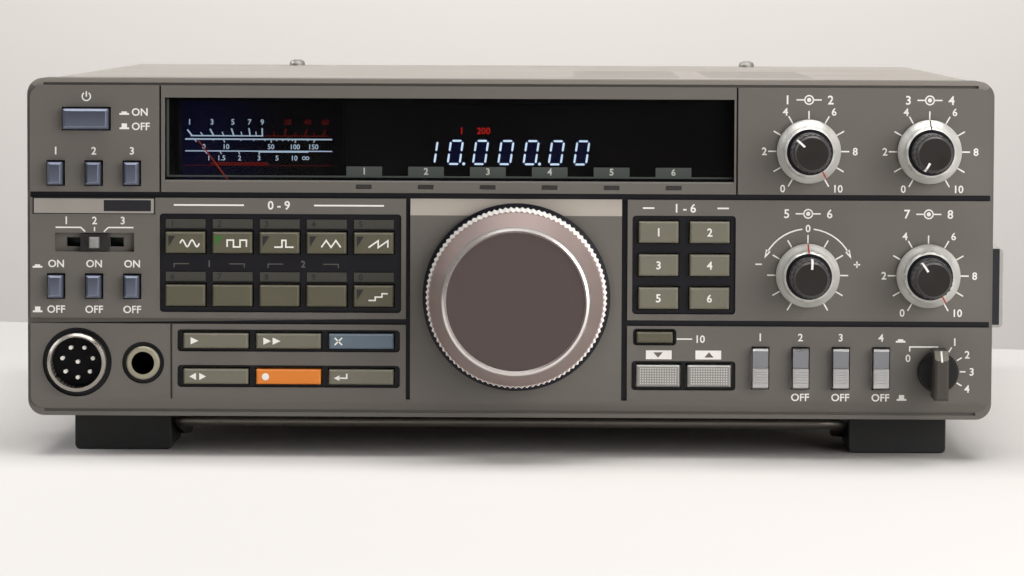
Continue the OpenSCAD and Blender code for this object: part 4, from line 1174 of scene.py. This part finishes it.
def digit(sheet, figure, x, z, w, h, thick, slant=0.144):
    """A seven segment figure whose lower left corner stands at x, z"""
    corners = {
        "a": ((0, 1), (1, 1)), "b": ((1, 1), (1, 0.5)), "c": ((1, 0.5), (1, 0)), "d": ((0, 0), (1, 0)),
        "e": ((0, 0.5), (0, 0)), "f": ((0, 1), (0, 0.5)), "g": ((0, 0.5), (1, 0.5)),
    }
    for name in SEGMENTS[figure]:
        (x0, z0), (x1, z1) = corners[name]
        first = Vector((x + x0 * w + z0 * h * slant, z + z0 * h))
        last = Vector((x + x1 * w + z1 * h * slant, z + z1 * h))
        way = (last - first).normalized()
        across = Vector((-way.y, way.x)) * thick / 2
        gap = way * thick * 0.55
        tip = way * thick * 0.5
        sheet.shape([tuple(p) for p in (
            first + gap, first + gap + tip - across, last - gap - tip - across,
            last - gap, last - gap - tip + across, first + gap + tip + across,
        )])


def display_figures(colours):
    """Lit reading, its blue glow, red indicators and the dim unlit figures beside it"""
    reading, left, pitch, foot = "1000000", -24.6, 7.09, 70.85
    width, height = 3.35, 6.5
    lit, glow = Print(TUBE_FRONT - 0.06), Print(TUBE_FRONT)
    for k, figure in enumerate(reading):
        x = left + k * pitch
        digit(lit, figure, x, foot, width, height, 0.55)
        corners = ((-0.35, -0.4), (width + 0.3, -0.4), (width + 1.35, height + 0.4), (0.6, height + 0.4))
        if k:
            glow.shape([(x + dx, foot + dz) for dx, dz in corners])
        if k in (1, 4):
            lit.disc(x + width + 1.15, foot + 0.05, 0.42)
    lit.piece("lit_reading", lit_segment("lit_phosphor", colours.lit, 3.2, 3), slot="display_black")
    glow.piece("reading_glow", lit_segment("phosphor_glow", colours.glow, 0.16, 6), slot="display_black")
    red = Print(TUBE_FRONT)
    red.words("1", left + 1.55 * pitch, 80.15, 1.9)
    red.words("200", left + 2.42 * pitch, 80.15, 1.9)
    lamp = lit_segment("lit_red_phosphor", colours.lit_red, 1.5, 2)
    red.piece("red_indicators", lamp, slot="display_black")
    ghost = Print(TUBE_FRONT)
    for x in (27.6, 33.6, 40.2, 45.2):
        digit(ghost, "8", x, 71.4, 2.0, 3.9, 0.4)
    unlit = lit_segment("unlit_phosphor", hex_colour("#5a1414"), 0.05, 3)
    ghost.piece("unlit_figures", unlit, slot="display_black")


def window_tags():
    """Six small tags with figures along the window's foot, and the pale line at its foot and left end"""
    tag, ink = Print(WINDOW_FRONT), Print(WINDOW_FRONT - INK)
    first, last = WINDOW_LOW.x / MM + 1.7, WINDOW_HIGH.x / MM - 1.7
    level = WINDOW_FOOT + 2.55
    for k, x in enumerate(LAMP_X):
        tag.bar(x, level, 10.0, 2.6)
        ink.words(str(k + 1), x, level, 1.9)
    tag.bar((first + last) / 2, WINDOW_FOOT + 1.0, last - first, 0.5)
    tag.bar(first + 0.35, WINDOW_FOOT + 11.9, 0.7, 21.3)
    tag.piece("window_tags", screen_ink("tag_screen_ink", hex_colour("#3d4441")), slot="display_black")
    ink.piece("window_tag_figures", screen_ink("tag_figure_ink", hex_colour("#b9bfb6")), slot="display_black")


def display_mask(finish):
    """Black card behind the window, with openings for the meter and for the lit tube"""
    card = Print(WINDOW_BACK + 0.32, 0.25)
    low, high = WINDOW_LOW.z / MM - PANEL_FOOT + 0.2, WINDOW_HIGH.z / MM - PANEL_FOOT - 0.2
    left, right = -97.6, 63.9
    meter_x0, meter_x1 = -94.2, -45.8
    tube_x0, tube_x1, tube_z0, tube_z1 = -27.7, 48.7, 69.1, 87.5
    for x0, x1, z0, z1 in (
        (left, meter_x0, low, high), (meter_x1, tube_x0, low, high), (tube_x1, right, low, high),
        (tube_x0, tube_x1, low, tube_z0), (tube_x0, tube_x1, tube_z1, high),
    ):
        card.bar((x0 + x1) / 2, (z0 + z1) / 2, x1 - x0, z1 - z0)
    card.piece("display_mask", finish, slot="display_black")


def scale_line(sheet, z, x0, x1, width, ticks, rise, pivot):
    """A meter scale line with ticks that point at the needle's pivot"""
    sheet.bar((x0 + x1) / 2, z, x1 - x0, width)
    for x, share in ticks:
        way = (Vector((x, z)) - Vector(pivot)).normalized() * rise * share
        sheet.line([(x, z), (x + way.x, z + way.y)], 0.3 if share < 0.8 else 0.42)


def meter_dial(colours):
    """Plain scales of the meter: white on the left, red on the right, and a red bar below"""
    pivot = (-69.5, 52.2)
    white, red = Print(DIAL_FRONT), Print(DIAL_FRONT)
    top, mid, low = 78.2, 77.25, 73.9
    main = ((-90.0, 1), (-83.9, 1), (-78.2, 1), (-73.6, 1), (-70.15, 1))
    between = tuple(((a + b) / 2, 0.55) for (a, _), (b, _) in zip(main, main[1:]))
    scale_line(white, top, -90.4, -69.9, 0.35, main + between, 2.2, pivot)
    for figure, (x, _) in zip("13579", main):
        white.words(figure, x - 0.035 * (pivot[0] - x), 82.1, 1.6)
    above = ((-63.9, 1), (-58.3, 1), (-53.3, 1))
    scale_line(red, top, -69.7, -51.0, 0.3, above + ((-67.0, 0.55), (-61.0, 0.55), (-55.8, 0.55)), 2.2, pivot)
    for figure, (x, _) in zip(("20", "40", "60"), above):
        red.words(figure, x + 0.9, 82.15, 1.6)
    power = ((-89.4, -1), (-81.2, -1), (-67.6, -1), (-60.6, -1), (-55.2, -1))
    fine = tuple((x, -0.5) for x in (-84.2, -76.3, -72.6, -69.4, -66.0, -64.3, -62.7, -61.5, -57.2))
    scale_line(white, mid, -92.0, -50.4, 0.42, power + fine, 1.0, pivot)
    for figure, x in zip(("0", "10", "50", "100", "150"), (-86.7, -80.3, -67.7, -60.8, -55.6)):
        white.words(figure, x, 75.15, 1.45)
    ratio = tuple((x, -1) for x in (-86.4, -82.2, -76.9, -71.1))
    scale_line(white, low, -92.0, -50.4, 0.32, ratio, 1.0, pivot)
    white.bar(-64.1, low - 0.2, 13.9, 0.4)
    for figure, x in zip(("1", "1.5", "2", "3", "5", "10"), (-85.3, -81.6, -76.6, -71.1, -66.0, -61.0)):
        white.words(figure, x, 71.95, 1.45)
    for s in (-1, 1):
        white.ring(-57.9 + s * 0.5, 71.95, 0.42, 0.24)
    red.bar(-76.7, 70.35, 16.2, 0.85)
    red.bar(-71.2, 69.85, 41.6, 0.18)
    white.piece("meter_scale", lit_segment("lit_dial_print", colours.lit, 1.7, 12), slot="display_black")
    red_print = lit_segment("lit_red_print", hex_colour("#a32418"), 0.55, 12)
    red.piece("meter_red_scale", red_print, slot="display_black")


def dial_black():
    """Dial card: matt black card, lit from the lower left by a blue tinted lamp, so it glows faintly there"""
    made, tree, shader, where = start("lit_black_dial_card", hex_colour("#050508"), 0.7)
    lamp = TO_METRES @ Vector((-90.0, DIAL_FRONT, 75.0))
    moved = add(tree, "ShaderNodeMapping", {"Vector": where, "Location": -lamp})
    reach = add(tree, "ShaderNodeVectorMath", {0: moved.outputs["Vector"]}, operation="LENGTH")
    glow_reach, glow = 26 * MM, 0.12
    level = ranged(tree, reach.outputs["Value"], 0.0, glow_reach, glow, 0.0)
    shader.inputs["Emission Color"].default_value = (*hex_colour("#1a2f9a"), 1.0)
    tree.links.new(level, shader.inputs["Emission Strength"])
    return made


def unit_finish(x, y, z, normal):
    """Finish of a meter and display face: 0 black housing, 1 dial card, 2 lamp window, 3 tube glass"""
    meter_right, tube_left = -46, -40
    if abs(y - DIAL_FRONT) < NEAR and x < meter_right:
        return 1
    if y < 1 and normal.y < -0.9:
        return 2
    return 3 if abs(y - TUBE_FRONT) < NEAR and x > tube_left else 0


class RADIO_OT_display(bpy.types.Operator):
    """Finish the window, the meter with its needle and the lit display"""

    bl_idname = "radio.display"
    bl_label = "Meter and Display"

    def execute(self, context):
        colours = context.scene.radio_colours
        dress("display_window", [smoked_acrylic()])
        housing = black_paint("black_housing_paint", hex_colour("#08080a"))
        lamp = key_abs("unlit_lamp_window", hex_colour("#2c2a29"))
        tube = black_paint("dark_tube_glass", hex_colour("#060609"))
        dress("meter_and_display", [housing, dial_black(), lamp, tube], unit_finish)
        # The needle glows though it is no lamp: painted glow, for the meter lamp's light on its red paint
        dress("meter_needle", [lit_segment("needle_paint_painted_glow", hex_colour("#d8543a"), 0.7, 4)])
        display_figures(colours)
        window_tags()
        display_mask(housing)
        meter_dial(colours)
        return {"FINISHED"}


# Case


def screw(bm, place, radius, dome):
    """A screw head with a cross recess, its axis along the Z axis of the matrix place"""
    pit = radius * 0.42
    turned(bm, (
        (0, -1.0), (radius, -1.0), (radius, dome * 0.35), (radius * 0.86, dome * 0.75), (pit, dome),
        (pit * 0.6, dome - 0.7), (0, dome - 0.7),
    ), place, steps=28)


def facing(x, y, z, axis, turn):
    """A place in panel millimetres whose Z axis points out of a surface"""
    return Matrix.Translation((x, y, z)) @ Matrix.Rotation(math.radians(turn), 4, axis)


class RADIO_OT_case(bpy.types.Operator):
    """Finish the covers and the chassis, with the cover screws and the cloth behind the grille"""

    bl_idname = "radio.case"
    bl_label = "Case"

    def execute(self, context):
        colours, edge = context.scene.radio_colours, context.scene.radio_sizes.cover_edge
        enamel = stoved_enamel(colours.cover)
        for node in ("top_cover", "bottom_cover"):
            rounded(flat(dress(node, [enamel])), edge)
        dress("chassis", [zinc_steel()])
        bright, side = bmesh.new(), bmesh.new()
        top, reach = PANEL_H - 0.3, 134.0
        for sx in (-1, 1):
            screw(bright, facing(sx * 76, 262, top, "X", 0), 2.6, 2.0)
            for y, z in ((45, 75), (215, 75), (45, 20), (215, 20)):
                screw(side, facing(sx * reach, y, z, "Y", sx * 90), 3.0, 1.3)
        for sx in (-1, 1):
            for y in (60, 235):
                screw(side, facing(sx * 60, y, 0.3, "X", 180), 3.0, 1.3)
        nickel = plated("dull_nickel_screws", 0.42, "#b4b1ab", 0.55)
        piece_from("top_screws", bright, nickel, "cabinet")
        piece_from("cover_screws", side, black_zinc(), "cabinet")
        cloth = bmesh.new()
        prism(cloth, [(14, 91.0), (91, 91.0), (91, 91.7), (14, 91.7)], 50, 174)
        piece_from("grille_cloth", cloth, speaker_cloth(), "cabinet")
        return {"FINISHED"}


# Sockets and rear


# Zones of the front sockets
FRONT_SOCKETS = 30
MIC_R, MIC_INSERT_R, MIC_PINS_R, MIC_FLOOR = 9.5, 7.35, 6, 3.15
JACK_HOLE_R = 3.25


def socket_finish(x, y, z, normal):
    """Finish of a socket face: 0 bright metal, 1 black insert, 2 satin nut, 3 pins, 4 jack nut"""
    if y < FRONT_SOCKETS and within(x, z, MIC, MIC_R):
        if y > MIC_FLOOR and within(x, z, MIC, MIC_INSERT_R):
            return 1
        return 3 if within(x, z, MIC, MIC_PINS_R) and y < MIC_FLOOR else 0
    if y < FRONT_SOCKETS:
        return 1 if within(x, z, JACK, JACK_HOLE_R) else 4
    if x < -80 and z < 45:
        return 3 if abs(x + 104) < 10 and y > REAR_PLATE + 3.1 and abs(z - 30) < 5.4 else 1
    if y < REAR_PLATE - 0.05 and z > 50:
        return 1
    return 2


class RADIO_OT_rear(bpy.types.Operator):
    """Finish the front and rear sockets and the heat sink, with the screws that hold it"""

    bl_idname = "radio.rear"
    bl_label = "Sockets and Heat Sink"

    def execute(self, context):
        finishes = (
            plated("bright_socket_ring", 0.3, "#aca79f", 0.8),
            matt_black_abs("black_socket_insert", hex_colour("#050507"), 0.15),
            plated("satin_nickel_plate", 0.32),
            plated("tinned_pins", 0.35, "#fffdf6", 0.3),
            plated("dull_jack_nut", 0.42, "#a3a08c", 0.6),
        )
        dress("sockets", finishes, socket_finish)
        rounded(flat(dress("heat_sink", [black_anodised()])), 0.3 * MM)
        bolts = bmesh.new()
        places = (
            (-50, 62), (-50, 85), (-122, 85), (-122, 10), (-75, 6), (-62, 40), (-20, 5), (120, 5), (120, 91),
        )
        for x, z in places:
            screw(bolts, facing(x, REAR_PLATE, z, "X", -90), 3.0, 1.4)
        piece_from("rear_screws", bolts, black_zinc(), "cabinet")
        return {"FINISHED"}


# Feet, bail and handle


class RADIO_OT_feet(bpy.types.Operator):
    """Finish the feet and the wire stand"""

    bl_idname = "radio.feet"
    bl_label = "Feet and Stand"

    def execute(self, context):
        rounded(flat(dress("feet", [moulded_rubber()])), 0.6 * MM, segments=3)
        dress("tilt_bail", [plated_wire()])
        return {"FINISHED"}


def handle_finish(x, y, z, normal):
    """Finish of a handle face: 0 bright cap, 1 vinyl strap"""
    strap_x, strap_y, strap_z = (135.4, 138.6), (27, 187), (25.5, 45.9)
    return int(all(low < at < high for at, (low, high) in zip((x, y, z), (strap_x, strap_y, strap_z))))


class RADIO_OT_handle(bpy.types.Operator):
    """Finish the carrying handle: vinyl strap, end caps with a black end plate and screws; the end plate is
    the strap's own black end, deepened by painted shade of the gap under the cap
    """

    bl_idname = "radio.handle"
    bl_label = "Carrying Handle"

    def execute(self, context):
        handle = dress("carry_handle", [handle_cap(), grained_vinyl()], handle_finish)
        rounded(flat(handle), 0.35 * MM)
        low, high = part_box("carry_handle")
        front = low.y / MM - FACE_Y
        # A black plate over the strap's end: the strap's own black, deepened as painted shade of the gap under
        # the cap
        ends = bmesh.new()
        block(ends, 136.5, 36.0, 4.8, 21.6, front - 0.25, front + 0.3)
        black = matt_black_abs("strap_end_plate_in_painted_shade", hex_colour("#0d0d18"))
        piece_from("handle_end_plate", ends, black, "cabinet")
        bolts = bmesh.new()
        for y in (front + 10, high.y / MM - FACE_Y - 10):
            for z in (-5, 5):
                screw(bolts, facing(high.x / MM, y, 35.7 + z, "Y", 90), 2.4, 0.9)
        piece_from("handle_screws", bolts, plated("nickel_handle_screws", 0.22), "cabinet")
        return {"FINISHED"}


# Inside


def inside_finish(x, y, z, normal):
    """Finish of an inner face: 0 board, 1 metal case, 2 dark component"""
    if 25.6 < y < 52:
        return 1
    if z > 62 and y > 60:
        return 2 if z < 90 or abs(x - 52.5) < 36 else 0
    return 2 if y > 60 and z < 36 else 0


class RADIO_OT_inside(bpy.types.Operator):
    """Finish the boards, potentiometers and loudspeaker inside the case"""

    bl_idname = "radio.inside"
    bl_label = "Inside"

    def execute(self, context):
        dark = matt_black_abs("component_case", hex_colour("#26262a"))
        dress("electronics", [glass_epoxy_board(), zinc_steel(), dark], inside_finish)
        return {"FINISHED"}


# Stage


def stage_finish(name, colour, size):
    """Stage: matt white cotton cloth on the table, matt paper on the wall, both a little cloudy."""
    return surface(name, colour, 0.85, (300, 0.015), (size, 0.02))


def stage_sheet(name, path, lean, finish):
    """A sheet across the stage along a path of Y and Z, whose far edge leans back to the left"""
    half, reach = 2.2, 0.5
    bm = bmesh.new()
    rows = []
    for y, z in path:
        slant = lean if y > 0 else 0.0
        places = [(x, y - slant * max(-reach, min(reach, x)), z) for x in (-half, -reach, 0.0, reach, half)]
        rows.append([bm.verts.new(place) for place in places])
    for a, b in zip(rows, rows[1:]):
        for k in range(4):
            bm.faces.new((a[k], a[k + 1], b[k + 1], b[k]))
    mesh = bpy.data.meshes.new(name)
    bm.to_mesh(mesh)
    bm.free()
    for face in mesh.polygons:
        face.use_smooth = True
    mesh.materials.append(finish)
    sheet = bpy.data.objects.new(name, mesh)
    bpy.context.scene.collection.objects.link(sheet)


# The wall stands beyond every camera, out of the way of rear views
WALL_Y = 3.0


def stage_set(colours):
    """Table cloth that falls over the table's far edge, and the wall far behind it"""
    edge, bend, steps = 0.31, 0.014, 6
    turns = [math.pi / 2 * k / steps for k in range(steps + 1)]
    cloth = [(-2.2, 0.0), (-0.25, 0.0)]
    cloth += [(edge - bend + bend * math.sin(a), bend * math.cos(a) - bend) for a in turns]
    cloth.append((edge, -0.4))
    stage_sheet("stage_cloth", cloth, 0.29, stage_finish("white_cotton_cloth", colours.floor, 1.2))
    wall = [(WALL_Y, -1.6), (WALL_Y, 2.4)]
    stage_sheet("stage_wall", wall, 0.0, stage_finish("matt_wall_paper", colours.wall, 2.0))


def soft_light(name, place, target, size, power, tint):
    """A large rectangular light that looks at a target"""
    lamp = bpy.data.lights.new(name, "AREA")
    lamp.shape = "RECTANGLE"
    lamp.size, lamp.size_y = size
    lamp.energy = power
    lamp.color = tint
    holder = bpy.data.objects.new(name, lamp)
    holder.location = place
    holder.rotation_euler = (Vector(target) - Vector(place)).to_track_quat("-Z", "Y").to_euler()
    bpy.context.scene.collection.objects.link(holder)


# Where the photograph was taken from, in metres, with the camera's turns in radians
CAMERA_PLACE = (0.0181313, -1.35932, 0.128776)
CAMERA_YAW, CAMERA_PITCH, CAMERA_ROLL = 0.0143, 0.0666, -0.0038
CAMERA_LENS = 153.10
SENSOR_WIDTH = 36.0


def set_camera(scene):
    """The camera at the photograph's view"""
    ahead = Vector((-math.sin(CAMERA_YAW), math.cos(CAMERA_YAW), 0))
    right = Vector((math.cos(CAMERA_YAW), math.sin(CAMERA_YAW), 0))
    up = Vector((0, 0, 1))
    look = ahead * math.cos(CAMERA_PITCH) - up * math.sin(CAMERA_PITCH)
    lift = ahead * math.sin(CAMERA_PITCH) + up * math.cos(CAMERA_PITCH)
    side = right * math.cos(CAMERA_ROLL) - lift * math.sin(CAMERA_ROLL)
    head = right * math.sin(CAMERA_ROLL) + lift * math.cos(CAMERA_ROLL)
    lens = bpy.data.cameras.new("camera")
    lens.lens, lens.sensor_width, lens.sensor_fit = CAMERA_LENS, SENSOR_WIDTH, "HORIZONTAL"
    lens.clip_end = 20
    camera = bpy.data.objects.new("camera", lens)
    turn = Matrix((side, head, -look)).transposed().to_4x4()
    camera.matrix_world = Matrix.Translation(CAMERA_PLACE) @ turn
    scene.collection.objects.link(camera)
    scene.camera = camera


def room_light(scene, strength):
    """Even room light, brighter overhead than at the floor"""
    world = bpy.data.worlds.new("studio_room")
    world.use_nodes = True
    tree = world.node_tree
    ground = tree.nodes["Background"]
    where = add(tree, "ShaderNodeTexCoord").outputs["Generated"]
    height = add(tree, "ShaderNodeSeparateXYZ", {0: where}).outputs["Z"]
    level = ranged(tree, height, -0.3, 0.8, strength * 0.45, strength * 1.5)
    ground.inputs["Color"].default_value = (1.0, 0.985, 0.965, 1.0)
    tree.links.new(level, ground.inputs["Strength"])
    scene.world = world


class RADIO_OT_stage(bpy.types.Operator):
    """Set the cloth, the wall, the soft lights and the camera"""

    bl_idname = "radio.stage"
    bl_label = "Stage"

    def execute(self, context):
        scene = context.scene
        stage = scene.radio_stage
        stage_set(scene.radio_colours)
        warm, cool = (1.0, 0.97, 0.945), (0.97, 0.98, 1.0)
        lights = (
            ("key_light", (0.75, -0.85, 0.4), (0.0, -0.1, 0.05), (1.0, 0.8), stage.key_power, warm),
            ("fill_light", (-1.1, 0.1, 0.6), (-0.2, 0.0, 0.0), (0.6, 0.6), stage.fill_power, cool),
            ("top_light", (0.1, -0.35, 1.6), (0.0, -0.1, 0.0), (1.6, 0.8), stage.top_power, warm),
            ("back_light", (0.0, 0.2, 1.5), (0.0, 0.5, 0.0), (1.6, 0.4), stage.back_power, warm),
            ("wall_light", (0.0, WALL_Y - 1, 1.0), (0.0, WALL_Y, -0.2), (2.0, 0.5), stage.wall_power, warm),
        )
        for light in lights:
            soft_light(*light)
        room_light(scene, stage.room)
        set_camera(scene)
        scene.view_settings.view_transform = "Standard"
        return {"FINISHED"}


# Panel, registration and the run


OPERATORS = (
    RADIO_OT_front_panel, RADIO_OT_panel_print, RADIO_OT_keys, RADIO_OT_buttons, RADIO_OT_tuning_knob,
    RADIO_OT_dual_knobs, RADIO_OT_selector, RADIO_OT_display, RADIO_OT_case, RADIO_OT_rear, RADIO_OT_feet,
    RADIO_OT_handle, RADIO_OT_inside, RADIO_OT_stage,
)
GROUPS = {"radio_sizes": RadioSizes, "radio_colours": RadioColours, "radio_stage": RadioStage}


class RADIO_PT_finishes(bpy.types.Panel):
    """Lists the radio's settings and the operators that dress it"""

    bl_idname = "RADIO_PT_finishes"
    bl_label = "HF Transceiver"
    bl_space_type = "VIEW_3D"
    bl_region_type = "UI"
    bl_category = "Radio"

    def draw(self, context):
        for operator in OPERATORS:
            self.layout.operator(operator.bl_idname)
        for group, kind in GROUPS.items():
            box = self.layout.box()
            for name in kind.__annotations__:
                box.prop(getattr(context.scene, group), name)


CLASSES = (*GROUPS.values(), *OPERATORS, RADIO_PT_finishes)


def register():
    """Registers the classes and hangs the settings on the scene"""
    for kind in CLASSES:
        bpy.utils.register_class(kind)
    for name, kind in GROUPS.items():
        setattr(bpy.types.Scene, name, PointerProperty(type=kind))


def unregister():
    """Takes the settings and the classes away again"""
    for name in GROUPS:
        delattr(bpy.types.Scene, name)
    for kind in reversed(CLASSES):
        bpy.utils.unregister_class(kind)


def main():
    """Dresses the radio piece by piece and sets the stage"""
    register()
    for operator in OPERATORS:
        group, name = operator.bl_idname.split(".")
        getattr(getattr(bpy.ops, group), name)()
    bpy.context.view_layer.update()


if __name__ == "__main__":
    main()
